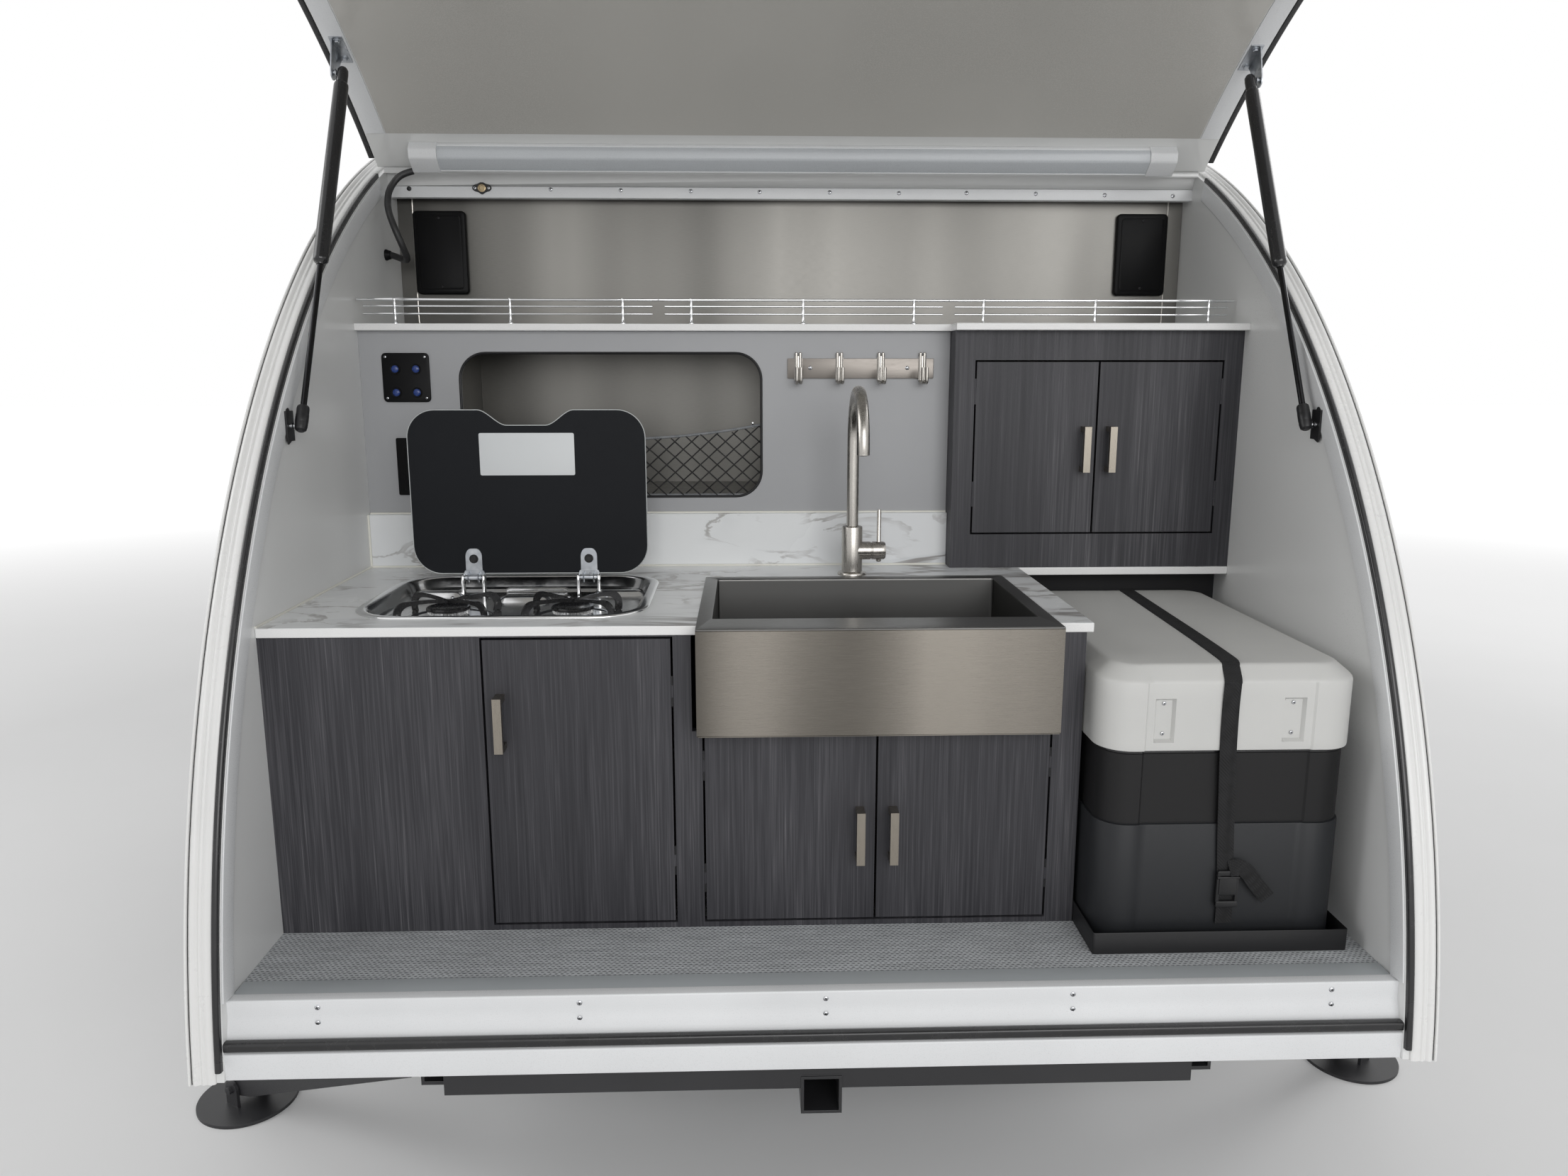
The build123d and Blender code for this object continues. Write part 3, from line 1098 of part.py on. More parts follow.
# Gallery rails on the shelf: three sections of three bars on three posts
RAIL_Y = FACE_Y + 530.0
RAIL_HEIGHTS = (18.0, 32.0, 44.0)
# Section table: left end, right end, post places
SECTIONS = ((-771, -275, (-762, -547, -336)), (-268, 281, (-207, 5, 216)), (287, 788, (349, 564, 784)))
with BuildPart() as rails:
    for left, right, posts in SECTIONS:
        for height in RAIL_HEIGHTS:
            rod_between((left, RAIL_Y, SHELF_TOP + height), (right, RAIL_Y, SHELF_TOP + height), 1.8)
        for x in posts:
            rod_between((x, RAIL_Y, SHELF_TOP), (x, RAIL_Y, SHELF_TOP + RAIL_HEIGHTS[-1]), 2.6)
write(rails, "gallery_rails")

# Apron sink: deck, apron with its returns, and the basin
SHEET = 3.0
APRON_LOW = FLOOR_Z + 329.0
BASIN_LOW = FLOOR_Z + 345.0
with BuildPart() as sink:
    block(SINK_X, SINK_Y, (COUNTER_TOP, COUNTER_TOP + SHEET))
    block(SINK_X, (SINK_Y[0], SINK_Y[0] + SHEET), (APRON_LOW, COUNTER_TOP + SHEET))
    for x in (SINK_X[0], SINK_X[1] - SHEET):
        block((x, x + SHEET), (SINK_Y[0], FACE_Y - 4), (APRON_LOW, COUNTER_TOP + 1))
    block(SINK_X, (SINK_Y[0], FACE_Y - 4), (APRON_LOW, APRON_LOW + SHEET))
    basin = (BASIN_X[0] - SHEET, BASIN_X[1] + SHEET)
    block(basin, (BASIN_Y[0] - SHEET, BASIN_Y[1] + SHEET), (BASIN_LOW - SHEET, COUNTER_TOP + 1))
    with BuildSketch(Plane.XY.offset(BASIN_LOW)):
        with Locations(((BASIN_X[0] + BASIN_X[1]) / 2, (BASIN_Y[0] + BASIN_Y[1]) / 2)):
            RectangleRounded(BASIN_X[1] - BASIN_X[0], BASIN_Y[1] - BASIN_Y[0], 12)
    extrude(amount=200, mode=Mode.SUBTRACT)
    with Locations((95, FACE_Y + 200, BASIN_LOW - SHEET - 30)):
        Cylinder(42, 60)
    with Locations((95, FACE_Y + 200, BASIN_LOW - SHEET - 4 + 30)):
        Cylinder(38, 60, mode=Mode.SUBTRACT)
write(sink, "sink")

# Faucet: base, body, gooseneck and side lever
TAP = (93.0, FACE_Y + 421.0, COUNTER_TOP)
NECK_R, NECK_TUBE_R = 90.0, 11.0
with BuildPart() as faucet:
    with BuildSketch(Plane.XY.offset(TAP[2])):
        with Locations(TAP[:2]):
            Circle(27)
    extrude(amount=5)
    with BuildSketch(Plane.XY.offset(TAP[2] + 4)):
        with Locations(TAP[:2]):
            Circle(19.5)
    extrude(amount=88)
    crown = FLOOR_Z + 844 - NECK_R - NECK_TUBE_R
    with BuildLine() as neck:
        Line((TAP[0], TAP[1], TAP[2] + 80), (TAP[0], TAP[1], crown))
        ThreePointArc(
            (TAP[0], TAP[1], crown),
            (TAP[0], TAP[1] - NECK_R, crown + NECK_R),
            (TAP[0], TAP[1] - 2 * NECK_R, crown),
        )
        Line((TAP[0], TAP[1] - 2 * NECK_R, crown), (TAP[0], TAP[1] - 2 * NECK_R, crown - 14))
    with BuildSketch(Plane.XY.offset(TAP[2] + 80)):
        with Locations(TAP[:2]):
            Circle(NECK_TUBE_R)
    sweep(path=neck.line)
    lever_z = TAP[2] + 45
    rod_between((TAP[0], TAP[1], lever_z), (TAP[0] + 63, TAP[1], lever_z), 17)
    rod_between((TAP[0] + 50, TAP[1], lever_z), (TAP[0] + 50, TAP[1], lever_z + 78), 4)
write(faucet, "faucet")

# Hob: pressed tray with sloping sides and the lugs of its lid's hinges
LID_PIN = (FACE_Y + 352.0, FLOOR_Z + 503.0)
LID_HINGES = (-598.0, -391.0)
PAN_DEEP = 24.0
HOB_MID_Y = (HOB_Y[0] + HOB_Y[1]) / 2
HOB_DEEP = HOB_Y[1] - HOB_Y[0]
with BuildPart() as hob:
    with BuildSketch(Plane.XY.offset(COUNTER_TOP)):
        with Locations((HOB_X, HOB_MID_Y)):
            RectangleRounded(2 * HOB_HALF, HOB_DEEP, 88)
    extrude(amount=2)
    with BuildSketch(Plane.XY.offset(COUNTER_TOP + 2)):
        with Locations((HOB_X, HOB_MID_Y)):
            RectangleRounded(2 * HOB_HALF - 30, HOB_DEEP - 30, 74)
    extrude(amount=-PAN_DEEP - 2, taper=22)
    with BuildSketch(Plane.XY.offset(COUNTER_TOP + 2)):
        with Locations((HOB_X, HOB_MID_Y)):
            RectangleRounded(2 * HOB_HALF - 34, HOB_DEEP - 34, 72)
    extrude(amount=-PAN_DEEP, taper=22, mode=Mode.SUBTRACT)
    pan_z = COUNTER_TOP + 2 - PAN_DEEP
    for x in LID_HINGES:
        for shift in (-18.5, 18.5):
            strap_y = (LID_PIN[0] - 8, LID_PIN[0] + 8)
            block((x + shift - 3, x + shift + 3), strap_y, (pan_z - 1, LID_PIN[1] + 7))
        rod_between((x - 19, LID_PIN[0], LID_PIN[1]), (x + 19, LID_PIN[0], LID_PIN[1]), 2.5)
write(hob, "hob_tray")

# Burners and their grates
BURNERS = ((-596.0, FACE_Y + 168.0), (-392.0, FACE_Y + 168.0))
GRATE_TOP = FLOOR_Z + 505.0
with BuildPart() as burners:
    for x, y in BURNERS:
        with BuildSketch(Plane.XY.offset(pan_z)):
            with Locations((x, y)):
                Circle(30)
        extrude(amount=12)
        with BuildSketch(Plane.XY.offset(pan_z + 11)):
            with Locations((x, y)):
                Circle(34)
        extrude(amount=6)
        for turn in (35, 145):
            arm = Plane(origin=(x, y, pan_z), x_dir=(cos(radians(turn)), sin(radians(turn)), 0), z_dir=(
                sin(radians(turn)), -cos(radians(turn)), 0))
            top = GRATE_TOP - pan_z
            with BuildSketch(arm.offset(-2.5)):
                with BuildLine():
                    Polyline(
                        (-90, 0), (-90, top - 8), (-78, top), (78, top), (90, top - 8), (90, 0),
                        (82, 0), (82, top - 12), (74, top - 7),
                        (-74, top - 7), (-82, top - 12), (-82, 0),
                        close=True,
                    )
                make_face()
            extrude(amount=5)
write(burners, "burners")

# Glass lid standing open, with the dip in its edge, and its two zinc hinge straps
LID_X, LID_HALF, LID_LOW, LID_HIGH = -494.5, 210.0, FLOOR_Z + 509.0, FLOOR_Z + 802.0
LID_Y, LID_GLASS, LID_R = LID_PIN[0] + 10.0, 5.0, 50.0
with BuildPart() as lid:
    with BuildSketch(Plane.XZ.offset(-LID_Y - LID_GLASS)):
        with Locations((LID_X, (LID_LOW + LID_HIGH) / 2)):
            RectangleRounded(2 * LID_HALF, LID_HIGH - LID_LOW, LID_R)
        with BuildLine():
            dip = 27.0
            Polyline(
                (LID_X - 85, LID_HIGH + 1),
                (LID_X - 50, LID_HIGH - dip + 8),
                (LID_X - 30, LID_HIGH - dip),
                (LID_X + 30, LID_HIGH - dip),
                (LID_X + 50, LID_HIGH - dip + 8),
                (LID_X + 85, LID_HIGH + 1),
                close=True,
            )
        make_face(mode=Mode.SUBTRACT)
    extrude(amount=LID_GLASS)
write(lid, "hob_lid")

with BuildPart() as lid_hinges:
    for x in LID_HINGES:
        with BuildSketch(Plane.YZ.offset(x - 13.5)):
            with Locations(LID_PIN):
                Circle(5)
            with BuildLine():
                Polyline(
                    (LID_PIN[0] - 4, LID_PIN[1]),
                    (LID_PIN[0] + 4, LID_PIN[1] - 3),
                    (LID_Y, LID_PIN[1] + 4),
                    (LID_Y, LID_PIN[1] + 44),
                    (LID_Y - 2.5, LID_PIN[1] + 44),
                    (LID_Y - 2.5, LID_PIN[1] + 8),
                    close=True,
                )
            make_face()
            with Locations(LID_PIN):
                Circle(2.6, mode=Mode.SUBTRACT)
        extrude(amount=27)
write(lid_hinges, "lid_hinges")

# Hook rack on the bulkhead
HOOKS = (-4.0, 75.0, 155.0, 235.0)
with BuildPart() as hook_rack:
    block((-25, 257), (BACK_Y - 3, BACK_Y), (FLOOR_Z + 855, FLOOR_Z + 893))
    for x in HOOKS:
        with BuildSketch(Plane.YZ.offset(x - 7.5)):
            with BuildLine():
                low, high = FLOOR_Z + 846, FLOOR_Z + 902
                Polyline(
                    (BACK_Y - 3, high), (BACK_Y - 6, high),
                    (BACK_Y - 6, low + 4), (BACK_Y - 40, low + 4),
                    (BACK_Y - 40, low + 30), (BACK_Y - 43, low + 30),
                    (BACK_Y - 43, low), (BACK_Y - 3, low),
                    close=True,
                )
            make_face()
        extrude(amount=15)
write(hook_rack, "hook_rack")

# Black fittings on walls and bulkhead: switch plate, outlet plate, two speakers, cable grommet
with BuildPart() as fittings:
    block((-795, -706), (BACK_Y - 4, BACK_Y), (FLOOR_Z + 811, FLOOR_Z + 903))
    block((-778, -690), (BACK_Y - 4, BACK_Y), (FLOOR_Z + 633, FLOOR_Z + 743))
    for side in (-1, 1):
        near, far = sorted((side * 694, side * 804))
        block((near, far), (INNER_WALL_Y - 14, INNER_WALL_Y), (FLOOR_Z + 1030, FLOOR_Z + 1200))
    rod_between(
        (-INNER_HALF, FACE_Y + 740, FLOOR_Z + 1101.5), (-INNER_HALF + 11, FACE_Y + 740, FLOOR_Z + 1101.5), 11
    )
write(fittings, "wall_fittings")

# Fridge cooler: body with a waist line, lid with a chamfered crown, its tray and its strap
COOLER_X, COOLER_Y = (418.0, 806.0), (FACE_Y - 90.0, FACE_Y + 520.0)
COOLER_LOW, COOLER_WAIST, COOLER_BAND, COOLER_TOP = FLOOR_Z + 3, FLOOR_Z + 200, FLOOR_Z + 315, FLOOR_Z + 444
COOLER_MID = ((COOLER_X[0] + COOLER_X[1]) / 2, (COOLER_Y[0] + COOLER_Y[1]) / 2)
COOLER_SIZE = (COOLER_X[1] - COOLER_X[0], COOLER_Y[1] - COOLER_Y[0])
with BuildPart() as cooler:
    for shrink, low, high in ((3.0, COOLER_LOW, COOLER_WAIST), (6.0, COOLER_WAIST, COOLER_BAND)):
        with BuildSketch(Plane.XY.offset(low)):
            with Locations(COOLER_MID):
                Rectangle(COOLER_SIZE[0] - 2 * shrink, COOLER_SIZE[1] - 2 * shrink)
            chamfer(vertices(), 42)
        extrude(amount=high - low)
    wall_x = (COOLER_X[0] + 45, COOLER_X[1] - 45)
    wall_y = (COOLER_Y[0] + 45, COOLER_Y[1] - 45)
    block(wall_x, wall_y, (COOLER_LOW + 45, COOLER_BAND + 1), mode=Mode.SUBTRACT)
write(cooler, "cooler_body")

with BuildPart() as cooler_lid:
    with BuildSketch(Plane.XY.offset(COOLER_BAND)):
        with Locations(COOLER_MID):
            Rectangle(*COOLER_SIZE)
        chamfer(vertices(), 44)
    extrude(amount=COOLER_TOP - COOLER_BAND - 22)
    with BuildSketch(Plane.XY.offset(COOLER_TOP - 22)):
        with Locations(COOLER_MID):
            Rectangle(*COOLER_SIZE)
        chamfer(vertices(), 44)
    extrude(amount=22, taper=48)
    block(wall_x, wall_y, (COOLER_BAND - 1, COOLER_TOP - 45), mode=Mode.SUBTRACT)
write(cooler_lid, "cooler_lid")

TRAY_X, TRAY_Y, TRAY_LIP = (416.0, 808.0), (FACE_Y - 106.0, FACE_Y + 530.0), 35.0
with BuildPart() as tray:
    block(TRAY_X, TRAY_Y, (FLOOR_Z, FLOOR_Z + TRAY_LIP))
    block(
        (TRAY_X[0] + 1.5, TRAY_X[1] - 1.5),
        (TRAY_Y[0] + 2, TRAY_Y[1] - 2),
        (FLOOR_Z + 3, FLOOR_Z + TRAY_LIP + 1),
        mode=Mode.SUBTRACT,
    )
write(tray, "cooler_tray")

STRAP_X, STRAP_THICK = (612.0, 640.0), 2.0
with BuildPart() as strap:
    block(STRAP_X, (COOLER_Y[0] - 0.3 - STRAP_THICK, COOLER_Y[0] - 0.3), (FLOOR_Z + 40, COOLER_TOP - 18))
    with BuildSketch(Plane.YZ.offset(STRAP_X[0])):
        with BuildLine():
            edge = COOLER_Y[0] - 0.3
            crown_in = 24.0
            Polyline(
                (edge - STRAP_THICK, COOLER_TOP - 20),
                (edge, COOLER_TOP - 20),
                (edge + crown_in, COOLER_TOP + 0.3),
                (COOLER_Y[1] - 30, COOLER_TOP + 0.3),
                (COOLER_Y[1] - 30, COOLER_TOP + 0.3 + STRAP_THICK),
                (edge + crown_in - 1, COOLER_TOP + 0.3 + STRAP_THICK),
                close=True,
            )
        make_face()
    extrude(amount=STRAP_X[1] - STRAP_X[0])
write(strap, "cooler_strap")

# Cargo net across the lower part of the pass-through, behind the bulkhead
with BuildPart() as net:
    block(
        (PASS_X[0] - 8, PASS_X[1] + 8),
        (BACK_Y + PANEL + 0.3, BACK_Y + PANEL + 3.3),
        (PASS_Z[0] + 0.3, PASS_Z[0] + 140),
    )
write(net, "cargo_net")
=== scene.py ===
"""Teardrop trailer with its galley hatch open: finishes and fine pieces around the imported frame."""
import json
import math

import bmesh
import bpy
import numpy as np
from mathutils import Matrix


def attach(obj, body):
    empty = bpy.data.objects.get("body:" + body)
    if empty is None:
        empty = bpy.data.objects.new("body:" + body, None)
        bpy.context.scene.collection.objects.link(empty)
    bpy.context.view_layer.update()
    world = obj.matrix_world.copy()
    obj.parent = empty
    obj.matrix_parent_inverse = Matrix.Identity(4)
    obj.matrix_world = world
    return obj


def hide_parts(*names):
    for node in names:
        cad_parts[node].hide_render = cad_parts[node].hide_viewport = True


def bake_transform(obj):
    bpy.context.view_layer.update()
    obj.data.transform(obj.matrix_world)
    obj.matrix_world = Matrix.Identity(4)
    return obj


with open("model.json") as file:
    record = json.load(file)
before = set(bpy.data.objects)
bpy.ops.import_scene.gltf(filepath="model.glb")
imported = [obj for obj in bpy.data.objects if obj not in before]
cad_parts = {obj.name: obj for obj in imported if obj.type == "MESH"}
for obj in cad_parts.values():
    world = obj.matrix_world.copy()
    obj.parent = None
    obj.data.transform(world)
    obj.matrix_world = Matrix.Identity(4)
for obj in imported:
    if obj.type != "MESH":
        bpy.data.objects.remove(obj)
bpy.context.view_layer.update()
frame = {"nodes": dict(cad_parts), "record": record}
NODES = frame["nodes"]
BODY_OF = {node: body for body, members in frame["record"]["behaviour"]["bodies"].items() for node in members}

# Galley measures in millimetres: y ahead of the cabinet face, z above the galley floor
SHIFT = np.array([0.0, -1524.0, 470.0])
INNER, OUTER = 837.5, 882.0  # from the middle to the faces of a side wall
COUNTER, BACK, SHELF = 493.0, 538.0, 957.0
X, Y, Z = np.eye(3)
SIDES = ((-1, "left"), (1, "right"))


def metres(points):
    """Galley millimetres to metres in the frame of the whole trailer."""
    return (np.asarray(points, float) + SHIFT) / 1000.0


def shown(name, data):
    """Puts data into the scene as an object."""
    made = bpy.data.objects.new(name, data)
    bpy.context.scene.collection.objects.link(made)
    return made


camera_data = bpy.data.cameras.new("photo_camera")
camera_data.lens, camera_data.sensor_width = 25.516, 36.0
bpy.context.scene.camera = camera = shown("photo_camera", camera_data)
camera.location = (-0.101, -3.1627, 1.3395)
camera.rotation_euler = (math.pi / 2 - 0.1929, 0.0, -0.032)


# Finishes
class Value:
    """A socket of a finish. Arithmetic on it adds Math nodes."""

    def __init__(self, paint, socket):
        self.paint, self.socket = paint, socket

    def __add__(self, other):
        return self.paint.maths("ADD", self, other)

    def __sub__(self, other):
        return self.paint.maths("SUBTRACT", self, other)

    def __rsub__(self, other):
        return self.paint.maths("SUBTRACT", other, self)

    def __mul__(self, other):
        return self.paint.maths("MULTIPLY", self, other)

    def __truediv__(self, other):
        return self.paint.maths("DIVIDE", self, other)

    __radd__, __rmul__ = __add__, __mul__


class Paint:
    """One finish: a Principled shader and the nodes that vary it."""

    def __init__(self, name, colour, rough=0.5, metal=0.0, **sockets):
        self.material = bpy.data.materials.new(name)
        self.material.use_nodes = True
        self.tree = self.material.node_tree
        self.shader = self.tree.nodes["Principled BSDF"]
        self.set(**{"Base Color": (*colour, 1.0), "Roughness": rough, "Metallic": metal}, **sockets)
        self.place = self.node("TexCoord", out="Object")

    def set(self, **sockets):
        """Gives the shader's sockets a value or a link."""
        for name, value in sockets.items():
            name = name.replace("_", " ")
            if isinstance(value, Value):
                self.tree.links.new(value.socket, self.shader.inputs[name])
            else:
                self.shader.inputs[name].default_value = value

    def node(self, kind, settings=None, inputs=(), out=0):
        """Adds a node: its settings first, then the values or links of its sockets."""
        made = self.tree.nodes.new("ShaderNode" + kind)
        for key, value in (settings or {}).items():
            if key == "stops":
                for stop, (spot, colour) in enumerate(value):
                    elements = made.color_ramp.elements
                    element = elements[stop] if stop < 2 else elements.new(spot)
                    element.position, element.color = spot, (*colour, 1.0)
            else:
                setattr(made, key, value)
        for key, value in inputs.items() if isinstance(inputs, dict) else enumerate(inputs):
            if isinstance(value, Value):
                self.tree.links.new(value.socket, made.inputs[key])
            else:
                made.inputs[key].default_value = value
        return Value(self, made.outputs[out])

    def maths(self, operation, *values):
        """A Math node on one or two values."""
        return self.node("Math", {"operation": operation}, values)

    def along(self, axis):
        """Place along an axis, in metres."""
        return self.node("SeparateXYZ", inputs=[self.place], out=axis)

    def spot(self, stretch, turn):
        """Object coordinates, stretched and turned."""
        return self.node("Mapping", inputs={"Vector": self.place, "Scale": stretch, "Rotation": turn})

    def noise(self, scale, stretch=(1, 1, 1), detail=2.0, rough=0.5, warp=0.0, turn=(0, 0, 0)):
        """Soft noise from 0 to 1 on stretched coordinates."""
        inputs = {"Vector": self.spot(stretch, turn), "Scale": scale, "Detail": detail, "Roughness": rough}
        return self.node("TexNoise", inputs={**inputs, "Distortion": warp})

    def wave(self, scale, axis, warp=0.0):
        """Parallel bands."""
        inputs = {"Vector": self.place, "Scale": scale, "Distortion": warp}
        return self.node("TexWave", {"bands_direction": axis}, inputs)

    def span(self, value, low, high, to_low=0.0, to_high=1.0):
        """A value taken from one range to another and held inside it."""
        inputs = {"Value": value, "From Min": low, "From Max": high, "To Min": to_low, "To Max": to_high}
        return self.node("MapRange", inputs=inputs)

    def mix(self, share, low, high):
        """A colour between two."""
        pair = [value if isinstance(value, Value) else (*value, 1.0) for value in (low, high)]
        return self.node("Mix", {"data_type": "RGBA"}, {0: share, 6: pair[0], 7: pair[1]}, out=2)

    def finished(self, base, rough, height=None, deep=0.0):
        """Feeds the base colour, the roughness and, from a height times deep metres, the normal."""
        self.set(Base_Color=base, Roughness=rough)
        if height:
            self.set(Normal=self.node("Bump", inputs={"Height": height, "Distance": deep}))
        return self.material


def times(colour, share):
    """A colour times a number."""
    return tuple(share * part for part in colour)


def gloss_paint(name, colour, rough=0.16, coat=0.4, peel=0.00002):
    """Sprayed paint or gel coat: faint orange peel, a little haze, and dust that dulls it in patches."""
    paint = Paint(name, colour, rough, Coat_Weight=coat, Coat_Roughness=0.06)
    haze = paint.noise(3.1, detail=3.0)
    dust = paint.noise(60.0, detail=4.0)
    base = paint.mix(paint.span(haze, 0.35, 0.7), colour, times(colour, 0.93))
    gloss = paint.span(haze * 0.6 + dust * 0.4, 0.3, 0.75, rough * 0.7, rough * 1.5)
    return paint.finished(base, gloss, paint.noise(420.0, detail=1.0), peel)


def satin_paint(name, colour, rough, spread, shine=0.5, grain=700.0, deep=0.00003):
    """Powder coat, painted board or moulded plastic with a fine even grain."""
    paint = Paint(name, colour, rough, Specular_IOR_Level=shine)
    cloud, grit = paint.noise(5.0, detail=3.0), paint.noise(grain)
    tone = paint.span(cloud * 0.7 + grit * 0.3, 0.3, 0.7)
    base = paint.mix(tone, times(colour, 1 - spread), times(colour, 1 + spread))
    return paint.finished(base, paint.span(grit, 0.3, 0.7, rough - 0.07, rough + 0.08), grit, deep)


def brushed(name, colour, grain, rough):
    """Brushed metal: fine scratches that run along one axis, and long soft streaks of gloss."""
    paint = Paint(name, colour, rough, 1.0)
    fine = paint.noise(60.0, grain, detail=5.0, rough=0.7)
    streak = paint.noise(6.0, tuple(min(part, 12) for part in grain))
    tone = paint.span(fine * 0.5 + streak * 0.5, 0.35, 0.65)
    base = paint.mix(tone, times(colour, 0.9), colour)
    gloss = paint.span(fine * 0.6 + streak * 0.4, 0.3, 0.7, rough * 0.7, rough * 1.35)
    return paint.finished(base, gloss, fine, 0.00002)


def polished(name, colour, rough=0.08, smear=0.12):
    """Polished or plated metal with faint smears."""
    paint = Paint(name, colour, rough, 1.0)
    smears, specks = paint.noise(14.0, detail=4.0, warp=0.6), paint.noise(180.0)
    base = paint.mix(smears, times(colour, 0.92), colour)
    gloss = paint.span(smears * 0.7 + specks * 0.3, 0.35, 0.7, rough, rough + smear)
    return paint.finished(base, gloss, specks, 0.000006)


def galvanised(name, colour):
    """Zinc plate: a spangle of pale and darker flakes."""
    paint = Paint(name, colour, 0.34, 1.0)
    flakes = paint.node("TexVoronoi", inputs={"Vector": paint.place, "Scale": 90.0})
    wear = paint.noise(35.0, detail=4.0)
    base = paint.mix(paint.span(flakes * 0.6 + wear * 0.4, 0.2, 0.6), colour, (0.42, 0.44, 0.47))
    return paint.finished(base, paint.span(wear, 0.3, 0.7, 0.24, 0.46), flakes, 0.00001)


def marble(name):
    """White laminate with wandering grey veins: thin lines where a stretched noise crosses its middle value,
    broken up by a second noise, over a faint cloud."""
    paint = Paint(name, (0.72, 0.74, 0.75), 0.3, Specular_IOR_Level=0.45)
    cloud = paint.noise(3.0, detail=4.0)

    def vein(scale, width, warp, shift):
        centred = paint.noise(scale, (0.34 + shift, 1.0, 1.25), 5.0, 0.55, warp, (0.15, 0.30, 0.34)) - 0.5
        return 1 - paint.span(centred * centred, 0.0, width)

    bold = vein(3.1, 0.00060, 0.9, 0.0) * paint.span(paint.noise(4.3), 0.46, 0.58)
    fine = vein(7.5, 0.00080, 1.4, 0.1) * paint.span(paint.noise(6.1, detail=3.0, turn=(1, 0, 0)), 0.46, 0.58)
    haze = vein(3.1, 0.0040, 0.9, 0.0) * paint.span(paint.noise(4.3), 0.44, 0.60)
    base = paint.mix(paint.span(cloud, 0.4, 0.75), (0.80, 0.815, 0.82), (0.72, 0.735, 0.75))
    for share, colour in ((haze * 0.42, (0.50, 0.52, 0.54)), (bold * 0.85, (0.22, 0.205, 0.195)),
                          (fine * 0.7, (0.27, 0.25, 0.235))):
        base = paint.mix(share, base, colour)
    return paint.finished(base, paint.span(cloud, 0.3, 0.7, 0.22, 0.34), paint.noise(300.0), 0.00001)


def woodgrain(name):
    """Charcoal laminate: fine upright lines in three widths, with slow lighter and darker bands."""
    paint = Paint(name, (0.04, 0.04, 0.045), 0.45, Specular_IOR_Level=0.35)
    band = paint.noise(14.0, (1, 1, 0.10), warp=0.2)
    line = paint.noise(210.0, (1, 1, 0.016), detail=3.0, rough=0.6)
    hair = paint.noise(620.0, (1, 1, 0.012), rough=0.6)
    tone = paint.span(band * 0.30 + line * 0.38 + hair * 0.32, 0.36, 0.66)
    stops = [(0.0, (0.019, 0.019, 0.023)), (1.0, (0.125, 0.122, 0.131)), (0.45, (0.036, 0.0355, 0.041)),
             (0.75, (0.063, 0.062, 0.069))]
    base = paint.node("ValToRGB", {"stops": stops}, [tone])
    return paint.finished(base, paint.span(hair, 0.3, 0.7, 0.40, 0.58), line * 0.5 + hair * 0.5, 0.00005)


def rubber(name, colour=(0.018, 0.018, 0.019), rough=0.35):
    """Black rubber, smooth with faint chalky bloom."""
    paint = Paint(name, colour, rough)
    bloom = paint.noise(40.0, detail=5.0)
    base = paint.mix(paint.span(bloom, 0.5, 0.8), colour, tuple(part + 0.008 for part in colour))
    return paint.finished(base, paint.span(bloom, 0.3, 0.7, rough * 0.8, rough * 1.4), paint.noise(600.0),
                          0.00001)


def woven(name, dark, light, pitch, deep):
    """Flat weave: two crossing rows of threads, over and under in turn, with soft flecks."""
    paint = Paint(name, dark, 0.9, Specular_IOR_Level=0.25)
    step = math.pi / (10.0 * pitch)
    warp_rows, weft_rows = paint.wave(step, "X", 0.4), paint.wave(step, "Z", 0.4) + paint.wave(step, "Y", 0.4)
    over = paint.span(paint.wave(step / 2, "DIAGONAL"), 0.4, 0.6)
    height = warp_rows * over + weft_rows * (1 - over)
    base = paint.mix(paint.span(paint.noise(60.0) * 0.75 + height * 0.35, 0.4, 0.78), dark, light)
    return paint.finished(base, paint.span(height, 0.0, 1.0, 0.95, 0.8), height, deep)


def basket(name, dark, light, wide=0.0082, row=0.0052):
    """Woven vinyl floor covering: flat grey yarns that run across, with rows of small dark ovals between,
    each row set half a step from the next; longer slubs make some yarns paler."""
    paint = Paint(name, dark, 0.8, Specular_IOR_Level=0.3)
    across = paint.along("X") / wide + paint.noise(160.0, detail=1.0) * 0.5
    back = paint.along("Y") / row
    odd = paint.maths("FLOOR", paint.maths("PINGPONG", back, 1.0) + 0.5)
    dx = paint.maths("FRACT", across + odd * 0.5) - 0.5
    dy = paint.maths("FRACT", back + 0.5) - 0.5
    hole = 1 - paint.span(dx * dx + dy * dy * 1.3, 0.03, 0.13)
    slub = paint.noise(260.0, (0.05, 1, 1), rough=0.6)
    fleck = paint.noise(900.0, (0.4, 1, 1))
    tone = paint.span(slub * 0.5 + fleck * 0.3 + paint.noise(9.0, detail=3.0) * 0.2, 0.36, 0.64)
    yarn = paint.mix(tone, times(light, 0.62), light)
    base = paint.mix(hole * paint.span(fleck, 0.3, 0.6, 0.5, 1.0), yarn, dark)
    return paint.finished(base, paint.span(slub, 0.3, 0.7, 0.62, 0.85), 1 - hole + slub * 0.4, 0.0009)


